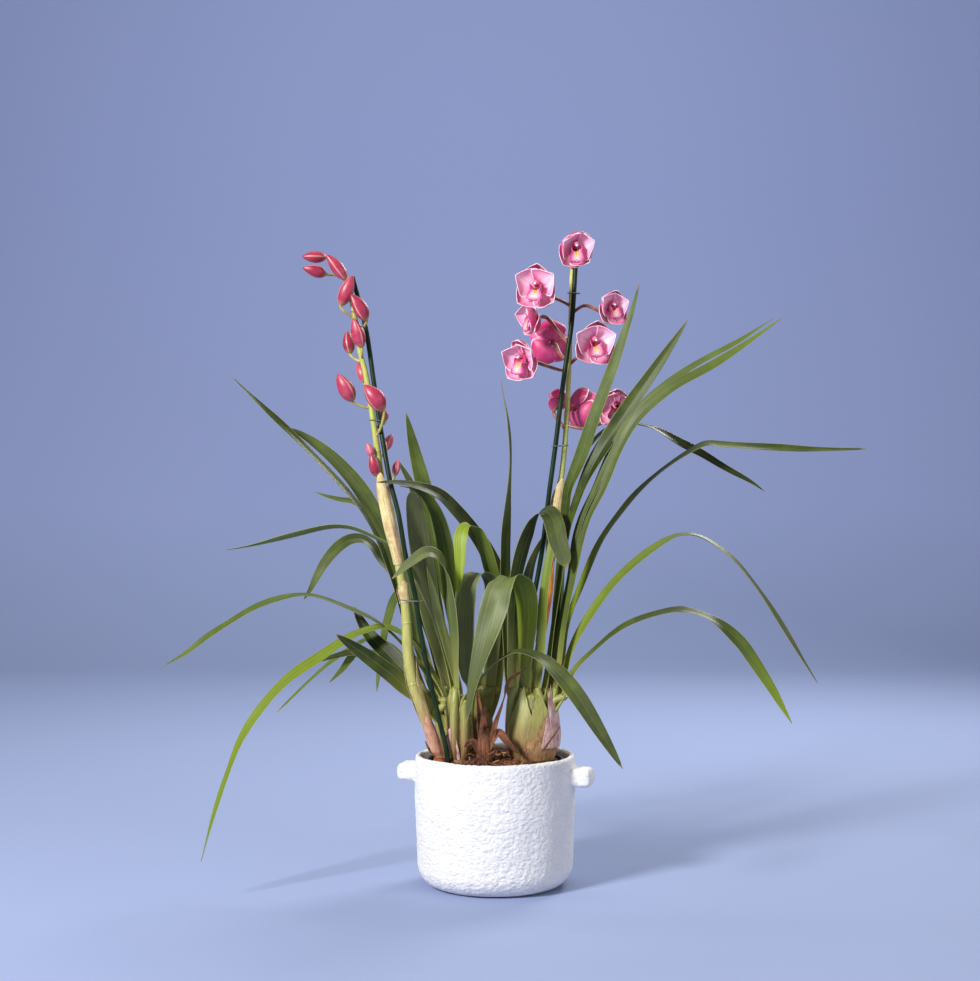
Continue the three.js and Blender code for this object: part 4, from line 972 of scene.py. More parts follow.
        dict(width=19, widest=0.8, tone=[0.45, 0.12, 0.05, 0.08], sheenAndBloom=0,
             rolls=[-30, -25, -20, -15, -12, -12, -60, -70, -60], points=[
            (77, 46, 237), (83, 52, 300), (89, 56, 413), (96, 60, 488), (105, 62, 519), (119, 62, 542),
            (142, 60, 567), (166, 58, 575), (201, 56, 570), (236, 54, 551), (262, 52, 538), (293, 50, 519),
            (328, 48, 500), (344, 46, 488)]),
        dict(width=20, widest=0.7, tone=[0.9, 0.72, 0.25, 0.15], sheenAndBloom=[0, 0.03],
             rolls=[-45, -35, -30, -20, -12, -15, -30, -40, -45, -45], points=[
            (82, 38, 238), (90, 38, 316), (109, 38, 367), (133, 36, 424), (158, 33, 460), (180, 29, 487),
            (211, 24, 515), (245, 20, 538), (265, 17, 548), (283, 14, 547), (313, 10, 545), (353, 8, 543),
            (393, 5, 541), (431, 2, 541), (463, 0, 542)]),
    ]),
}

dryStrips = [
    dict(width=13, rolls=[-70, -90, -60], points=[(-14, -42, 168), (-13, -44, 195), (-12, -42, 226)]),
    dict(width=9, rolls=[-60, -40, -80], points=[(-17, -42, 170), (-20, -41, 210), (-22, -38, 246)]),
    dict(width=9, rolls=[-80, -60, -20, 40, 80], points=[(-12, -47, 170), (-3, -50, 190), (4, -52, 212),
         (12, -52, 240), (18, -50, 258), (38, -50, 274)]),
    dict(width=10, rolls=[-60, -90, -120], points=[(-10, -48, 172), (4, -53, 196), (14, -56, 186),
         (28, -56, 170)]),
    dict(width=9, rolls=[-80, -60, -90], points=[(-18, -46, 168), (-28, -50, 184), (-38, -52, 178)]),
]

bladeShape = {
    "across": 8, "steps": 46, "foot": 0.52, "leastHalf": 0.25, "thickness": 1.1, "edge": 0.6, "keel": 0.2,
    "stalkThickness": 8.0, "stalkLength": 80.0, "stalkFold": 0.4, "stalkWider": 0.18, "ripple": 0.5,
}


def leafOutline(share, widest, foot, blunt):  # its tip is pointed at a blunt of 5 and rounded at 12
    return blend(foot, 1, smoothStep(0, widest, share)) * (1 - share ** blunt) ** (4 / blunt)


def stripOutline(share, *unused):
    return (0.75 + 0.25 * math.sin(share * math.pi) - 0.45 * share ** 4) * (1 - share ** 12) ** 0.5


# A strap along a route. Rolls turn its face about the route: 0 has an edge to the front, -90 the upper face.
def blade(name, points, width, rolls, outline, upper, under, seed, stalk=0.0, keel=bladeShape["keel"],
          widest=0.55, foot=bladeShape["foot"], blunt=5, tone=0.5, sheenAndBloom=0.0, steps=bladeShape["steps"],
          curl=0.0, thickness=bladeShape["thickness"]):
    shape = bladeShape
    route = [Vector(point) for point in points]
    middles = [routeAt(route, i / steps) for i in range(steps + 1)]
    hand = 1 if route[-1].x < route[0].x else -1
    reached = [0.0]
    for i in range(steps):
        reached.append(reached[-1] + (middles[i + 1] - middles[i]).length)
    scarAt = reached[min(steps, round(steps / (len(route) - 1)))]
    dice = random.Random(seed)
    phase = dice.uniform(0, 6)
    rows = []
    for i, middle in enumerate(middles):
        along = (middles[min(i + 1, steps)] - middles[max(i - 1, 0)]).normalized()
        edgeOn = (toFront - along * toFront.dot(along)).normalized()
        inward = along.cross(edgeOn) * hand
        roll = alongList(rolls, i / steps) * degree
        side = edgeOn * math.cos(roll) + inward * math.sin(roll)
        face = inward * math.cos(roll) - edgeOn * math.sin(roll)
        root = max(0, 1 - reached[i] / shape["stalkLength"]) * stalk
        half = width / 2 * outline(reached[i] / reached[-1], widest, foot, blunt)
        half = max(half * (1 + shape["stalkWider"] * root), shape["leastHalf"])
        rows.append((middle, side, face, half, root))

    def place(u, row):
        middle, side, face, half, root = rows[row]
        across = -hand * u
        soft = (math.sqrt(across * across + 0.02) - 0.141) / 0.869  # a rounded keel
        lift = half * (keel + shape["stalkFold"] * root) * soft
        wave = math.sin(reached[row] / 17 + phase + across * 1.5)
        lift += shape["ripple"] * abs(across) * wave * (1 - root)
        lift += curl * half * (across ** 2) * math.sin(reached[row] / 9 + phase)
        return (middle + side * (across * half) + face * lift) * mm

    piece = gridPiece(name, shape["across"], steps, place)

    # each point carries its distance from the scar, its tone, which paints shade and light shining through,
    # and its silvery share, a painted sheen with the waxy bloom
    def leafMap(vertex):
        row = vertex.index // (shape["across"] + 1)
        fromScar = min(max(0.5 + (reached[row] - scarAt) / 200, 0), 1)
        return fromScar, alongList(tone, row / steps), alongList(sheenAndBloom, row / steps), 1

    paintMap(piece, "leafMap", leafMap)
    group = piece.vertex_groups.new(name="thick")
    full = shape["stalkThickness"]
    for vertex in piece.data.vertices:
        row, column = divmod(vertex.index, shape["across"] + 1)
        out = abs(column / shape["across"] * 2 - 1)
        root = rows[row][4]
        thick = blend(blend(thickness, full, root), blend(shape["edge"], full * 0.4, root), out)
        group.add([vertex.index], thick / full, "REPLACE")
    for finish in (upper, under):
        piece.data.materials.append(finishes[finish])
    applyModifier(piece, "SOLIDIFY", thickness=full * mm, offset=0, vertex_group="thick",
                  thickness_vertex_group=0, material_offset=1, material_offset_rim=0, use_even_offset=False)
    piece.vertex_groups.clear()
    refine(piece)
    shadeSmooth(piece)
    return piece


bulbShape = {
    "foot": 139, "sides": 88, "steps": 30, "swell": [0.40, 0.62, 0.84, 0.97, 1.0, 0.96, 0.88, 0.78, 0.62],
    "neck": 10, "ridges": 9, "wrapAcross": 16, "wrapAlong": 18, "wrapThickness": 0.5,
    "sleeveWider": 1.1, "sleeveTaper": [1.0, 1.15, 1.1, 1.02, 1.0, 0.85], "sleeveFlat": 0.8,
}

# papery scales that hug the bulbs, in millimetres and degrees: from where to where, which way they look,
# how far round they go and how far they stand off, with their finish and seed
bulbWraps = {
    "growth_right_front": [
        (174, 254, -28, 46, 5.0, "mauvePaper", 1), (158, 218, -56, 44, 3.6, "tanPaper", 2),
        (156, 256, -122, 52, 1.4, "sleeve", 3), (156, 250, -70, 46, 2.6, "sleeve", 15),
        (158, 192, -80, 46, 3.2, "tanPaper", 4), (160, 242, 4, 40, 2.2, "rosePaper", 14),
        (164, 240, 35, 50, 1.0, "tanPaper", 5), (158, 212, 110, 60, 0.9, "creamPaper", 6),
    ],
    "growth_left_front": [
        (158, 200, -120, 44, 3.2, "mauvePaper", 7), (170, 232, -40, 36, 3.6, "nettedBulb", 8),
        (158, 226, 80, 60, 0.8, "tanPaper", 9),
    ],
    "growth_centre_back": [(160, 224, 90, 60, 0.8, "tanPaper", 10)],
    "growth_right_back": [(160, 228, 60, 70, 0.8, "tanPaper", 11)],
    "growth_left_back": [(160, 224, 130, 60, 0.8, "tanPaper", 12)],
}


def bulbPoint(root, turn, height, stand=0.0):
    share = (height - bulbShape["foot"]) / (root["top"] + bulbShape["neck"] - bulbShape["foot"])
    size = alongList(bulbShape["swell"], max(share, 0))
    return Vector((root["x"] + (root["wide"] * size + stand) * math.cos(turn),
                   root["y"] + (root["deep"] * size + stand) * math.sin(turn), height))


def makeBulb(root, seed, finish):  # an onion-like base, wrapped in the ridges of its sheaths
    shape = bulbShape
    foot, top, steps = shape["foot"], root["top"] + shape["neck"], shape["steps"]
    middle = Vector((root["x"], root["y"], 0))

    def place(u, row):
        turn = u * math.pi
        if row == 0 or row == steps + 2:
            return (middle + upward * (foot if row == 0 else top + 3)) * mm
        at = (row - 1) / steps
        point = bulbPoint(root, turn, blend(foot, top, at))
        ribs = 1 + 0.05 * abs(math.sin(turn * shape["ridges"] / 2 + seed + at * 0.8)) ** 0.6 - 0.04
        ribs += 0.035 * noise.noise(Vector((turn, at * 5, seed)))
        axis = middle + upward * point.z
        return (axis + (point - axis) * ribs) * mm

    piece = gridPiece("bulb", shape["sides"], steps + 2, place)
    closeSeams(piece)
    return dressed(piece, finish)


def makeWrap(root, low, high, bearing, spread, stand, finish, seed):
    across, steps = bulbShape["wrapAcross"], bulbShape["wrapAlong"]
    dice = random.Random(seed)
    notches = [dice.uniform(0, 0.14) for _ in range(across + 1)]

    def place(u, row):
        share = row / steps
        column = round((u + 1) / 2 * across)
        height = blend(low, high, share * (1 - 0.5 * abs(u) ** 1.5 - notches[column]))
        turn = (bearing + u * spread * (1 - 0.3 * share)) * degree
        crease = 0.7 * noise.noise(Vector((u * 3, share * 4, seed)))
        return bulbPoint(root, turn, height, stand + crease + 1.2 * share ** 3) * mm

    piece = gridPiece("wrap", across, steps, place)
    applyModifier(piece, "SOLIDIFY", thickness=bulbShape["wrapThickness"] * mm, offset=1)
    refine(piece)
    return dressed(piece, finish)


def makeSleeve(root, points, half):  # the pale sheathing foot of a leaf, up to the scar where it parts
    shape = bulbShape
    first, middle = Vector(points[0]), Vector((root["x"], root["y"], 0))
    out = Vector((first.x - middle.x, first.y - middle.y, 0))
    out /= max(math.hypot(out.x / root["wide"], out.y / root["deep"]), 0.6)
    heights = (shape["foot"] + 12, blend(shape["foot"], root["top"], 0.5), blend(root["top"], first.z, 0.2))
    route = [middle + out * share + upward * height for share, height in zip((0.6, 0.9, 0.86), heights)]
    route += [first, first.lerp(Vector(points[1]), 0.06)]
    radii = [half * share for share in shape["sleeveTaper"]]
    return dressed(tube("sleeve", route, radii, 16, 24, shape["sleeveFlat"]), "sleeve", 60)


def makeGrowth(name, growth):
    root = growth["bulb"]
    skin = "nettedBulb" if name == "growth_left_front" else "bulb"
    pieces = [makeBulb(root, len(growth["leaves"]), skin)]
    pieces += [makeWrap(root, *wrap) for wrap in bulbWraps[name]]
    for i, leaf in enumerate(growth["leaves"]):
        first = Vector(leaf["points"][0])
        sunk = (blend(root["x"], first.x, 0.35), blend(root["y"], first.y, 0.35),
                blend(root["top"], first.z, 0.3) - 32)
        given = {**leaf, "points": [sunk] + leaf["points"]}
        half = leaf["width"] / 2 * leaf.get("foot", bladeShape["foot"]) * bulbShape["sleeveWider"]
        pieces.append(makeSleeve(root, leaf["points"], half))
        pieces.append(blade("leaf", outline=leafOutline, stalk=1.0, upper="leafUpper", under="leafUnder",
                            seed=i * 7 + len(name), **given))
    words = name.split("_")
    joined = joinPieces(words[0] + "".join(word.title() for word in words[1:]), pieces)
    return finishPiece(joined, "leaf_green", name)


for growthName, growthShape in growths.items():
    makeGrowth(growthName, growthShape)
print("leaves done")

# brown remains: old leaf bases and a dry twisted leaf on a withered bulb, with a few bits lying loose

looseTwigs = [
    ([(58, -46, 172), (64, -47, 181), (72, -46, 192), (79, -44, 202)], [0.9, 1.3, 1.0, 0.5]),
    ([(-14, -60, 166), (-6, -62, 171), (2, -60, 175), (8, -57, 170)], [0.9, 1.2, 1.1, 0.6]),
    ([(-38, -56, 164), (-32, -58, 170), (-24, -58, 168)], [0.8, 1.1, 0.6]),
    ([(-76, -22, 164), (-82, -24, 172), (-86, -24, 181)], [1.1, 1.5, 0.7]),
]


dryShape = {"keel": 0.45, "curl": 0.35, "steps": 26, "thickness": 0.8}
dryBulb = {"x": -13, "y": -46, "wide": 10, "deep": 7, "top": 190}


def makeDrySheaths():
    pieces = [makeBulb(dryBulb, 3, "dryLeaf")]
    for i, strip in enumerate(dryStrips):
        pieces.append(blade("strip", outline=stripOutline, upper="dryLeaf", under="dryLeaf", seed=i + 3,
                            **dryShape, **strip))
    for points, radii in looseTwigs:
        pieces.append(dressed(tube("twig", points, radii, 8), "dryLeaf"))
    return finishPiece(joinPieces("drySheaths", pieces), "dry_leaf", "dry_sheaths")


makeDrySheaths()
print("dry sheaths done")

# the bud spike: a jointed stem in papery sheaths, with fat ribbed buds

leftStem = [
    (-68, -19, 132), (-68, -19, 161), (-72, -22, 168), (-81, -25, 195), (-92, -26, 225), (-101, -26, 252),
    (-107, -25, 287), (-109, -24, 327), (-111, -23, 352), (-121, -21, 410), (-127, -19, 434),
    (-138, -14, 486), (-146, -9, 539), (-154, -6, 593), (-161, -3, 634), (-168, -1, 662), (-178, 0, 724),
    (-184, 2, 747), (-195, 4, 766), (-206, 4, 776),
]

# each bud leaves the stem at a height and points from its foot to its tip
leftBuds = [
    dict(leaves=770, foot=(-210, 2, 781), tip=(-239, -4, 781), wide=15, tone=0.45),
    dict(leaves=758, foot=(-209, -9, 758), tip=(-237, -18, 765), wide=16, tone=0.3),
    dict(leaves=744, foot=(-185, -9, 751), tip=(-208, -16, 781), wide=16, tone=0.5),
    dict(leaves=706, foot=(-192, -6, 719), tip=(-177, -13, 755), wide=18, tone=0.45),
    dict(leaves=688, foot=(-159, -14, 700), tip=(-177, -23, 731), wide=18, tone=0.4),
    dict(leaves=654, foot=(-165, -13, 666), tip=(-175, -19, 702), wide=17, tone=0.5),
    dict(leaves=650, foot=(-181, 2, 660), tip=(-185, 8, 689), wide=15, tone=0.35),
    dict(leaves=614, foot=(-163, 12, 624), tip=(-172, 19, 652), wide=14, tone=0.6),
    dict(leaves=592, foot=(-176, -12, 600), tip=(-194, -18, 633), wide=20, tone=0.5),
    dict(leaves=556, foot=(-137, -25, 588), tip=(-160, -29, 619), wide=22, tone=0.45),
    dict(leaves=568, foot=(-137, 10, 577), tip=(-141, 17, 592), wide=10, tone=0.5),
    dict(leaves=530, foot=(-137, 2, 540), tip=(-129, 8, 560), wide=12, tone=0.7),
    dict(leaves=524, foot=(-152, -14, 531), tip=(-158, -18, 548), wide=10, tone=0.8),
    dict(leaves=498, foot=(-147, -16, 507), tip=(-153, -21, 535), wide=14, tone=0.35),
    dict(leaves=490, foot=(-125, -5, 508), tip=(-120, -2, 528), wide=10, tone=0.7),
]

stemShape = {
    "left": [6.2, 6.2, 6.8, 7, 6.8, 6, 5, 4.2, 3.6, 3.4, 3.2, 2.8, 2.2],
    "leftJoints": [195, 252, 327, 410, 486, 539, 600, 662, 712],
    "right": [6, 6, 5.5, 5, 4.6, 4.2, 3.4, 3.2, 3, 2.6, 2.2],
    "rightJoints": [205, 304, 405, 500, 572, 652, 722],
    "jointSwell": 0.5, "budAcross": 30, "budAlong": 24,
    "budStalk": [1.9, 1.5, 1.8, 2.3], "flowerStalk": [2.1, 2.0, 2.3, 2.6, 2.2],
    "sheathAcross": 20, "sheathAlong": 26, "sheathThickness": 0.5, "torn": 0.35,
}

# papery sheaths: from where to where, how far they stand off, which way they look, their finish and seed,
# and how far round they go
leftSheaths = [
    (160, 214, 0.9, -60, "rosePaper", 1, 0.5), (206, 300, 1.0, 70, "creamPaper", 2, 0.7),
    (352, 380, 1.4, -60, "creamPaper", 3, 0.45), (350, 374, 1.2, 120, "creamPaper", 10, 0.5),
    (398, 516, 3.4, -100, "creamPaper", 4, 0.62), (402, 500, 2.8, -20, "rosePaper", 5, 0.3),
    (404, 470, 2.0, 100, "tanPaper", 11, 0.6),
]
rightSheaths = [
    (204, 300, 1.0, 80, "creamPaper", 6, 0.7), (236, 300, 1.2, -52, "orangeLeaf", 7, 0.22),
    (300, 404, 1.2, -46, "orangeLeaf", 12, 0.2), (300, 396, 0.9, 100, "creamPaper", 13, 0.7),
    (402, 508, 4.4, -80, "creamPaper", 8, 0.6), (402, 500, 4.0, 20, "rosePaper", 9, 0.42),
    (402, 486, 3.8, -165, "rosePaper", 15, 0.36), (398, 440, 1.6, -120, "tanPaper", 14, 0.6),
]


def radiusOn(points, radii, height):
    return alongList(radii, heightShare(points, height))


def makeJoint(points, radii, height):  # a low ring where a sheath once sat
    radius = radiusOn(points, radii, height)
    spots = [pointAtHeight(points, height + lift) for lift in (-2.4, -0.8, 0.8, 2.4)]
    swell = stemShape["jointSwell"]
    return tube("joint", spots, [radius - 0.5, radius + swell, radius + swell * 0.7, radius - 0.6], 16, 8)


def makeSheath(points, radii, low, high, stand, turn, finish, seed, wrap):
    # a papery wrap round the stem, open down one side and torn to a point at the top
    dice = random.Random(seed)
    across, steps = stemShape["sheathAcross"], stemShape["sheathAlong"]
    notches = [dice.uniform(0, stemShape["torn"]) for _ in range(across + 1)]

    def place(u, row):
        share = row / steps
        column = round((u + 1) / 2 * across)
        pointed = 1 - 0.42 * abs(u) ** 1.6 - 0.12 * notches[column]
        height = blend(low, high, share * pointed)
        middle = pointAtHeight(points, height)
        radius = radiusOn(points, radii, height) + 0.5 + stand * math.sin(share * math.pi * 0.62)
        radius += 1.1 * noise.noise(Vector((u * 2.6, share * 3, seed))) * share
        bearing = turn * degree + u * math.pi * wrap
        return (middle + Vector((math.cos(bearing), math.sin(bearing), 0)) * radius) * mm

    piece = gridPiece("sheath", across, steps, place)
    applyModifier(piece, "SOLIDIFY", thickness=stemShape["sheathThickness"] * mm, offset=1)
    refine(piece)
    return dressed(piece, finish)


def makeStemPieces(points, side, finish, sheaths, steps):
    radii = stemShape[side]
    pieces = [tube("stem", points, radii, 20, steps)]
    pieces += [makeJoint(points, radii, height) for height in stemShape[side + "Joints"]]
    for piece in pieces:
        dressed(piece, finish)
    return pieces + [makeSheath(points, radii, *sheath) for sheath in sheaths]


def makeBud():  # three sepals closed over each other, one unit long, pointing up
    across, along = stemShape["budAcross"], stemShape["budAlong"]

    def place(u, row):
        share = row / along
        turn = u * math.pi
        swell = math.sin(math.pi * share ** 0.82) ** 0.72 if 0 < share < 1 else 0
        seam = (0.5 + 0.5 * math.cos(turn * 3)) ** 10
        radius = 0.5 * swell * (1 + 0.045 * seam + 0.05 * math.cos(turn * 3) * share)
        lean = 0.10 * math.sin(share * math.pi)
        return Vector((radius * math.cos(turn) + lean * 0.5, radius * math.sin(turn), share))

    piece = gridPiece("bud", across, along, place)
    paintMap(piece, "budMap", lambda vertex: (
        (0.5 + 0.5 * math.cos((vertex.index % (across + 1) / across * 2 - 1) * math.pi * 3)) ** 3.2,
        vertex.index // (across + 1) / along, 0.5, 1))
    closeSeams(piece)
    return dressed(piece, "bud")


def makeBudSpike():
    pieces = makeStemPieces(leftStem, "left", "budStem", leftSheaths, 120)
    model = makeBud()
    for i, bud in enumerate(leftBuds):
        start, foot, tip = pointAtHeight(leftStem, bud["leaves"]), Vector(bud["foot"]), Vector(bud["tip"])
        axis = tip - foot
        frameTurn = axis.to_track_quat("Z", "Y").to_matrix().to_4x4()
        spin = Matrix.Rotation((i * 47 % 120) * degree, 4, "Z")
        size = Matrix.Diagonal((bud["wide"] * mm, bud["wide"] * mm, axis.length * 1.04 * mm, 1))
        made = copyOf(model, Matrix.Translation(foot * mm) @ frameTurn @ spin @ size)
        for value in made.data.attributes["budMap"].data:
            value.color = (value.color[0], value.color[1], bud["tone"], 1)
        pieces.append(made)
        bend = (blend(start.x, foot.x, 0.6), blend(start.y, foot.y, 0.6), blend(start.z, foot.z, 0.35))
        stalk = tube("stalk", [start, bend, foot, foot.lerp(tip, 0.12)], stemShape["budStalk"], 10, 18)
        pieces.append(dressed(stalk, "budStalk"))
    discard(model)
    return finishPiece(joinPieces("budSpike", pieces), "bud_stem", "bud_spike")


makeBudSpike()
print("bud spike done")

rightStem = [
    (34, 11, 132), (34, 11, 165), (41, 12, 205), (49, 13, 250), (57, 14, 304), (66, 15, 367), (72, 17, 430),
    (78, 18, 475), (85, 19, 520), (90, 20, 580), (93, 21, 640), (95, 22, 700), (96, 22, 755), (98, 20, 779),
]

# where each flower sits, the way it looks, its size, how far it is open and the height of its stalk
flowers = [
    dict(centre=(99, -4, 791), looks=(0.12, -1, -0.12), size=35, open=0.2, seed=3, leaves=768),
    dict(centre=(53, -16, 740), looks=(-0.25, -1, 0.05), size=36, open=0.75, seed=5, leaves=722,
         via=(84, 18, 728)),
    dict(centre=(52, 22, 708), looks=(-1, -0.45, -0.2), size=31, open=0.45, seed=4, leaves=672,
         via=(80, 26, 690)),
    dict(centre=(74, 64, 680), looks=(-0.25, 1, 0.15), size=38, open=0.7, seed=5, leaves=652,
         via=(84, 32, 660)),
    dict(centre=(38, -12, 652), looks=(-0.6, -0.8, -0.1), size=35, open=0.6, seed=11, leaves=640,
         via=(80, 18, 642)),
    dict(centre=(141, -16, 715), looks=(0.45, -0.85, 0.05), size=30, open=0.5, seed=2, leaves=712,
         via=(112, 16, 722)),
    dict(centre=(121, -16, 671), looks=(0.2, -1, 0), size=35, open=0.8, seed=3, leaves=648,
         via=(106, 16, 660)),
    dict(centre=(101, 42, 594), looks=(0.75, 0.6, 0.1), size=40, open=0.35, seed=5, leaves=554),
    dict(centre=(154, 5, 592), looks=(-0.3, -0.9, 0.1), size=32, open=0.6, seed=17, leaves=572,
         via=(114, 10, 568)),
    dict(centre=(84, 56, 606), looks=(-0.4, 0.9, 0.1), size=22, open=0.2, seed=4, leaves=566,
         via=(74, 30, 590)),
]


def makeFlowerSpike():
    pieces = makeStemPieces(rightStem, "right", "flowerStem", rightSheaths, 110)
    for flower in flowers:
        start = pointAtHeight(rightStem, flower["leaves"])
        facing = Vector(flower["looks"]).normalized()
        centre = Vector(flower["centre"])
        behind = centre - facing * 14 - Vector((0, 0, 2))
        bend = Vector(flower["via"]) if "via" in flower else start.lerp(behind, 0.55)
        route = [start, bend, behind, centre - facing * 4]
        pieces.append(dressed(tube("stalk", route, stemShape["flowerStalk"], 12, 26), "pedicel"))
    return finishPiece(joinPieces("flowerSpike", pieces), "flower_stem", "flower_spike")


makeFlowerSpike()
print("flower spike done")

# one bloom looks along +Z with its top along +Y, then it is turned to its place

bloomShape = {
    "across": 14, "along": 22, "thickness": 0.8, "outerWidth": 1.16, "innerWidth": 1.24, "innerLength": 0.98,
    "shutCurl": 96, "openCurl": 58, "bendsLate": 1.2, "hood": 1.5, "hoodLonger": 1.08, "wave": 1.1,
    "bearings": (4, 134, -134, 62, -62), "larger": 1.0, "lip": 28, "widest": 0.42, "starts": 0.10,
    "outerFold": 0.34, "innerFold": 0.46,
}

# in the bloom's own millimetres; along the lip run how far up and out it lies, its half-width and how
# high its sides stand
lipShape = {
    "across": 20, "along": 26, "thickness": 0.7,
    "spine": [(-2.4, 1.0), (-3.6, 4.5), (-4.2, 9.0), (-5.6, 12.8), (-8.4, 15.6), (-11.6, 16.2),
              (-14.2, 14.8)],
    "halves": [2.2, 5.5, 8.2, 6.8, 8.4, 7.8, 1.2],
    "raises": [0.8, 4.5, 7.6, 3.2, 0.6, -0.8, -0.4],
}
columnShape = {
    "route": [(0, 1.2, -1), (0, 3.6, 3), (0, 4.6, 8), (0, 3.8, 12.5)], "radii": [2.6, 2.7, 3.0, 2.9, 2.2],
    "hollow": [(0, 1.9, 2.5), (0, 2.6, 7), (0, 2.0, 11.6)], "hollowRadii": [1.2, 2.2, 2.3, 1.0],
    "cap": (0, 3.1, 13.2), "capSize": (1.3, 1.2, 1.2),
}
heartShape = {"route": [(0, 0, -5), (0, 0, -1), (0, 0, 2)], "radii": [2.2, 3.4, 3.6, 2.2]}


def tepalOutline(share):
    widest = bloomShape["widest"]
    swell = math.sin(min(share / widest, 1) * math.pi / 2) ** 0.7
    return swell * max(1 - max(0, (share - widest) / (1 - widest)) ** 1.9, 0) ** 0.7


def makeTepal(bearing, length, width, tilt, curl, lift, fold, seed, tone):
    shape = bloomShape
    along, starts = shape["along"], shape["starts"]
    dice = random.Random(seed)
    phase, twist = dice.uniform(0, 6), dice.uniform(-0.2, 0.2)
    spine, reach, height = [], starts * length, lift
    for row in range(along + 1):  # it bends forward most of all towards its tip
        lean = (tilt + curl * (row / along) ** shape["bendsLate"]) * degree
        spine.append((reach, height, lean))
        reach += math.cos(lean) * length * (1 - starts) / along
        height += math.sin(lean) * length * (1 - starts) / along

    def place(u, row):
        share = starts + (1 - starts) * row / along
        half = max(tepalOutline(share) * width / 2, 0.15)
        reach, height, lean = spine[row]
        above = half * fold * abs(u) ** 1.8 * 1.2 + half * twist * u
        above += shape["wave"] * abs(u) ** 2 * math.sin(share * 8 + phase + u * 1.4) * share
        above -= 0.4 * math.exp(-(u * 6) ** 2)  # the rib lies in a shallow groove
        inward = 1 - 0.22 * fold * u * u
        return Vector((u * half * inward, reach - math.sin(lean) * above, height + math.cos(lean) * above))

    piece = gridPiece("tepal", shape["across"], along, place)
    paintMap(piece, "petalMap", lambda vertex: (tone, 0, 0, 1))
    for finish in ("petalFace", "petalBack"):
        piece.data.materials.append(finishes[finish])
    applyModifier(piece, "SOLIDIFY", thickness=shape["thickness"], offset=0, material_offset=1,
                  material_offset_rim=0)
    refine(piece)
    piece.data.transform(Matrix.Rotation(-bearing * degree, 4, "Z"))
    shadeSmooth(piece)
    return piece


def makeLipPiece():  # two side lobes stand up beside the column, the front lobe bends down
    shape = lipShape
    spine = [Vector(spot) for spot in shape["spine"]]

    def place(u, row):
        share = row / shape["along"]
        spot = routeAt(spine, share)
        half = alongList(shape["halves"], share)
        stand = alongList(shape["raises"], share)
        front = smoothStep(0.55, 0.8, share)
        bent = abs(u) ** 1.6
        side = u * half * (1 - 0.28 * (1 - front) * bent)
        keel = 1.1 * (1 - front) * math.exp(-((abs(u) - 0.16) * 11) ** 2) * smoothStep(0.05, 0.3, share)
        wave = 0.6 * front * abs(u) ** 2 * math.sin(share * 26 + u * 3)
        return Vector((side, spot.x + stand * bent + keel, spot.y + stand * bent * 0.3 + wave))

    piece = gridPiece("lip", shape["across"], shape["along"], place)
    applyModifier(piece, "SOLIDIFY", thickness=shape["thickness"], offset=0)
    refine(piece)
    return dressed(piece, "lip")


def bloomTube(name, points, radii, sides, steps, finish):
    piece = tube(name, points, radii, sides, steps)
    piece.data.transform(Matrix.Scale(1 / mm, 4))
    return dressed(piece, finish)


def makeColumn():  # arched over the lip, with a pale cap at its end
    shape = columnShape
    body = bloomTube("column", shape["route"], shape["radii"], 16, 18, "column")
    hollow = bloomTube("hollow", shape["hollow"], shape["hollowRadii"], 12, 12, "throat")
    bpy.ops.object.select_all(action="DESELECT")
    bpy.ops.mesh.primitive_uv_sphere_add(segments=16, ring_count=10, radius=1)
    cap = bpy.context.object
    cap.data.transform(Matrix.Translation(shape["cap"]) @ Matrix.Diagonal((*shape["capSize"], 1)))
    for vertex in cap.data.vertices:
        vertex.co.y -= 0.35 * math.exp(-(vertex.co.x * 1.6) ** 2)
    return joinPieces("column", [body, hollow, dressed(cap, "anther")])


lipModel, columnModel = makeLipPiece(), makeColumn()


def makeBloom(number, centre, looks, size, open, seed, **unused):
    shape = bloomShape
    dice = random.Random(seed * 13 + number)
    long = size * shape["larger"]
    curl = blend(shape["shutCurl"], shape["openCurl"], open)
    outer = dict(length=long, width=size * shape["outerWidth"], tilt=blend(4, -8, open), lift=-1,
                 fold=shape["outerFold"])
    inner = dict(length=long * shape["innerLength"], width=size * shape["innerWidth"],
                 tilt=blend(18, 10, open), lift=1.6, fold=shape["innerFold"])
    pieces = []
    for i, bearing in enumerate(shape["bearings"]):
        kind = dict(outer if i < 3 else inner)
        tone = dice.uniform(0.55, 1.0) if i < 3 else dice.uniform(0.0, 0.45)
        bend = curl * dice.uniform(0.82, 1.18)
        if i == 0:  # the top sepal bends over like a hood
            bend, kind["length"], tone = curl * shape["hood"], long * shape["hoodLonger"], 1.0
        bearing *= dice.uniform(0.94, 1.06)
        pieces.append(makeTepal(bearing, curl=bend, seed=seed * 5 + i, tone=tone, **kind))
    scale = Matrix.Scale(size / shape["lip"], 4)
    pieces += [copyOf(lipModel, scale), copyOf(columnModel, scale)]
    pieces.append(bloomTube("heart", heartShape["route"], heartShape["radii"], 16, 12, "throat"))
    bloom = joinPieces("bloom%d" % number, pieces)
    facing = Vector(looks).normalized()
    side = upward.cross(facing).normalized()
    top = facing.cross(side)
    turn = Matrix((side, top, facing)).transposed().to_4x4()
    bloom.data.transform(Matrix.Translation(Vector(centre) * mm) @ turn @ Matrix.Scale(mm, 4))
    return finishPiece(bloom, "petal", "bloom_%d" % number)


for number, flower in enumerate(flowers, 1):
    makeBloom(number, **flower)
discard(lipModel, columnModel)
print("blooms done")

# stakes and their wire ties

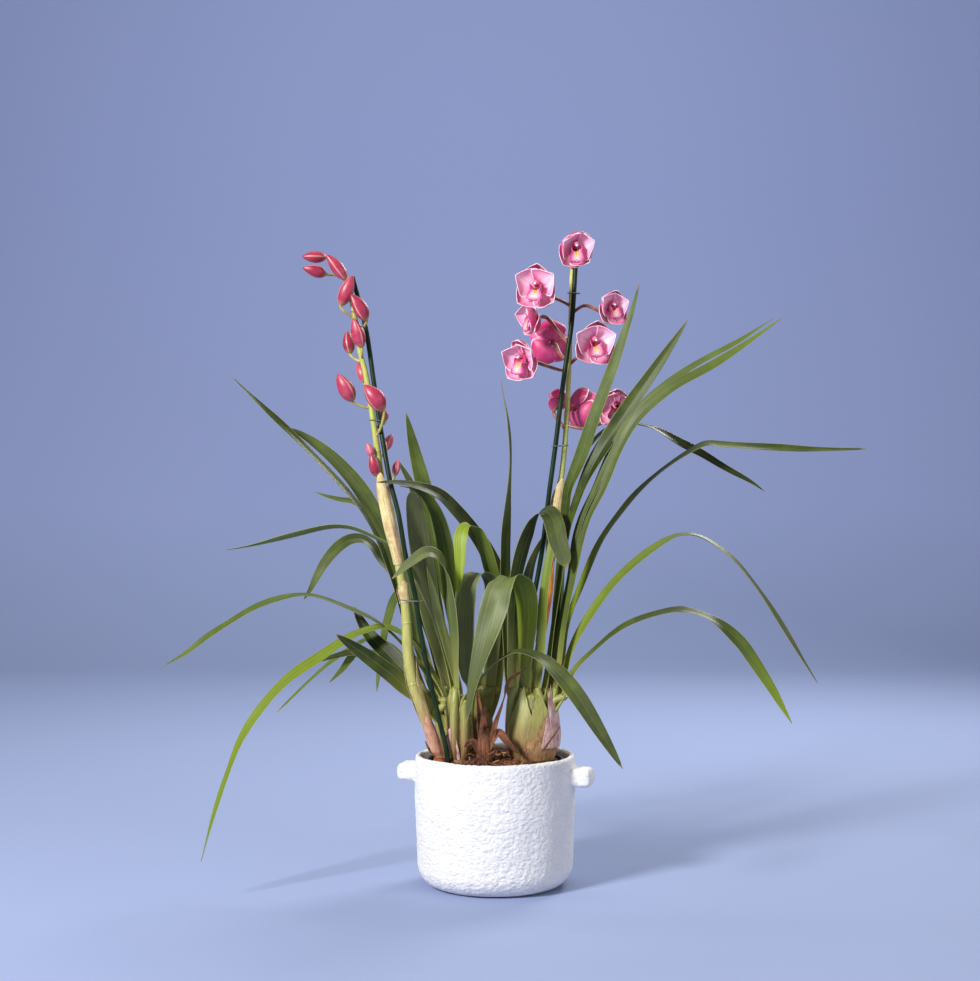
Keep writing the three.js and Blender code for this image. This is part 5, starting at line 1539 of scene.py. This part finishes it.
leftStake = [
    (-59, -34, 132), (-59, -34, 165), (-69, -34, 210), (-80, -34, 257), (-91, -33, 312), (-99, -32, 365),
    (-110, -31, 410), (-119, -28, 461), (-130, -22, 503), (-139, -12, 550), (-145, -5, 583),
    (-152, 0, 631), (-161, 4, 690), (-171, 6, 730), (-178, 7, 757),
]
rightStake = [
    (22, 18, 132), (22, 18, 165), (36, 14, 270), (48, 10, 353), (58, 9, 410), (67, 8, 482), (76, 9, 550),
    (84, 10, 615), (91, 11, 665), (96, 12, 700), (101, 14, 771),
]
stakeShape = {"radius": 3.0, "tip": 0.94, "sides": 16, "steps": 90, "wire": 0.65, "slack": 1.0, "twist": 1.3}


def makeStakePiece(name, route, node):
    radius = stakeShape["radius"]
    radii = [radius] * 12 + [radius * stakeShape["tip"]]
    piece = tube(name, route, radii, stakeShape["sides"], stakeShape["steps"])
    return finishPiece(dressed(piece, "stake", 50), "stake_green", node)


def makeTie(name, stemRoute, stakeRoute, height, radius, node):
    # a wire goes round stem and stake, and its two ends are twisted together
    start, end = pointAtHeight(stemRoute, height), pointAtHeight(stakeRoute, height)
    reach = (end - start).length
    turn = math.atan2(end.y - start.y, end.x - start.x)
    across = radius + stakeShape["slack"]
    loop = []
    for middle, begin, lift in ((0, math.pi / 2, 0.5), (reach, -math.pi / 2, -0.5)):
        for step in range(9):
            bearing = begin + math.pi * step / 8
            loop.append((middle + across * math.cos(bearing), across * math.sin(bearing), lift))
    loop.append((reach * 0.5, across, 0.2))
    loop.append((loop[0][0] - 0.5, loop[0][1] + 0.2, 0.8))
    routes = [loop]
    for side in (0, math.pi):
        turns = [side + i * stakeShape["twist"] for i in range(10)]
        routes.append([(reach * 0.5 + 0.7 * math.cos(bearing), across + 0.4 + 0.55 * i,
                        0.7 * math.sin(bearing)) for i, bearing in enumerate(turns)])
    pieces = []
    for points in routes:
        piece = tube("wire", points, [stakeShape["wire"]] * 2, 8, 8 * len(points))
        piece.data.transform(Matrix.Translation(start * mm) @ Matrix.Rotation(turn, 4, "Z"))
        pieces.append(dressed(piece, "wire"))
    return finishPiece(joinPieces(name, pieces), "tie_wire", node)


makeStakePiece("stakeLeft", leftStake, "stake_left")
makeStakePiece("stakeRight", rightStake, "stake_right")
for name, height, radius, node in (("tieLeftLow", 355, 6.6, "tie_left_low"),
                                   ("tieLeftMiddle", 577, 3.6, "tie_left_middle"),
                                   ("tieLeftHigh", 712, 3.2, "tie_left_high")):
    makeTie(name, leftStem, leftStake, height, radius, node)
for name, height, radius, node in (("tieRightLow", 546, 4.0, "tie_right_low"),
                                   ("tieRightHigh", 738, 3.2, "tie_right_high")):
    makeTie(name, rightStem, rightStake, height, radius, node)
print("stakes and ties done")

# a pale floor that curves up behind, and soft studio light

studio = {
    "floor": 6.0, "back": 2.6, "bend": 1.6, "bendSteps": 12, "wall": 4.0,
    "world": 0.26, "air": (0.97, 0.98, 1.0, 1), "aim": (0, 0, 0.42), "wallAim": (0, 2.6, 1.3),
    "lights": [
        ("keyLight", (-1.6, -1.8, 1.6), 0.5, 98, (1.0, 0.985, 0.965)),
        ("fillLight", (2.0, -1.6, 1.0), 1.4, 14, (1.0, 0.98, 0.98)),
        ("backLight", (1.1, 1.6, 1.8), 0.8, 30, (1.0, 0.98, 0.92)),
        ("wallLight", (0, 1.0, 2.6), 1.6, 40, (1.0, 1.0, 1.0)),
    ],
}


def makeFloorPiece():
    bpy.ops.object.select_all(action="DESELECT")
    middle = (0, studio["back"] - studio["floor"], 0)
    bpy.ops.mesh.primitive_plane_add(size=2 * studio["floor"], location=middle)
    piece = bpy.context.object
    piece.name = "floor"
    bpy.ops.object.transform_apply(location=True, rotation=True, scale=True)
    bpy.ops.object.mode_set(mode="EDIT")
    bpy.ops.mesh.select_all(action="DESELECT")
    bpy.ops.object.mode_set(mode="OBJECT")
    for edge in piece.data.edges:
        ends = [piece.data.vertices[i].co.y for i in edge.vertices]
        edge.select = min(ends) > studio["back"] - 0.01
    bpy.ops.object.mode_set(mode="EDIT")
    bpy.ops.mesh.select_mode(type="EDGE")
    steps = studio["bendSteps"]
    for step in range(1, steps + 1):
        turn = step / steps * 90 * degree
        before = (step - 1) / steps * 90 * degree
        bend = studio["bend"]
        move = (0, bend * (math.sin(turn) - math.sin(before)), bend * (math.cos(before) - math.cos(turn)))
        bpy.ops.mesh.extrude_region_move(TRANSFORM_OT_translate={"value": move})
    bpy.ops.mesh.extrude_region_move(TRANSFORM_OT_translate={"value": (0, 0, studio["wall"])})
    bpy.ops.object.mode_set(mode="OBJECT")
    dressed(piece, "floor")


def makeLights():
    for name, place, size, power, colour in studio["lights"]:
        bpy.ops.object.select_all(action="DESELECT")
        aim = Vector(studio["wallAim"] if name == "wallLight" else studio["aim"])
        aim = (aim - Vector(place)).to_track_quat("-Z", "Y").to_euler()
        bpy.ops.object.light_add(type="AREA", location=place, rotation=aim)
        light = bpy.context.object
        light.name = name
        light.data.size = size
        light.data.energy = power
        light.data.color = colour
    world = bpy.data.worlds.new("studioAir")
    bpy.context.scene.world = world
    world.use_nodes = True
    background = world.node_tree.nodes["Background"].inputs
    background["Color"].default_value = studio["air"]
    background["Strength"].default_value = studio["world"]


makeFloorPiece()
makeLights()
bpy.context.scene.view_settings.view_transform = "Standard"
print("studio done")
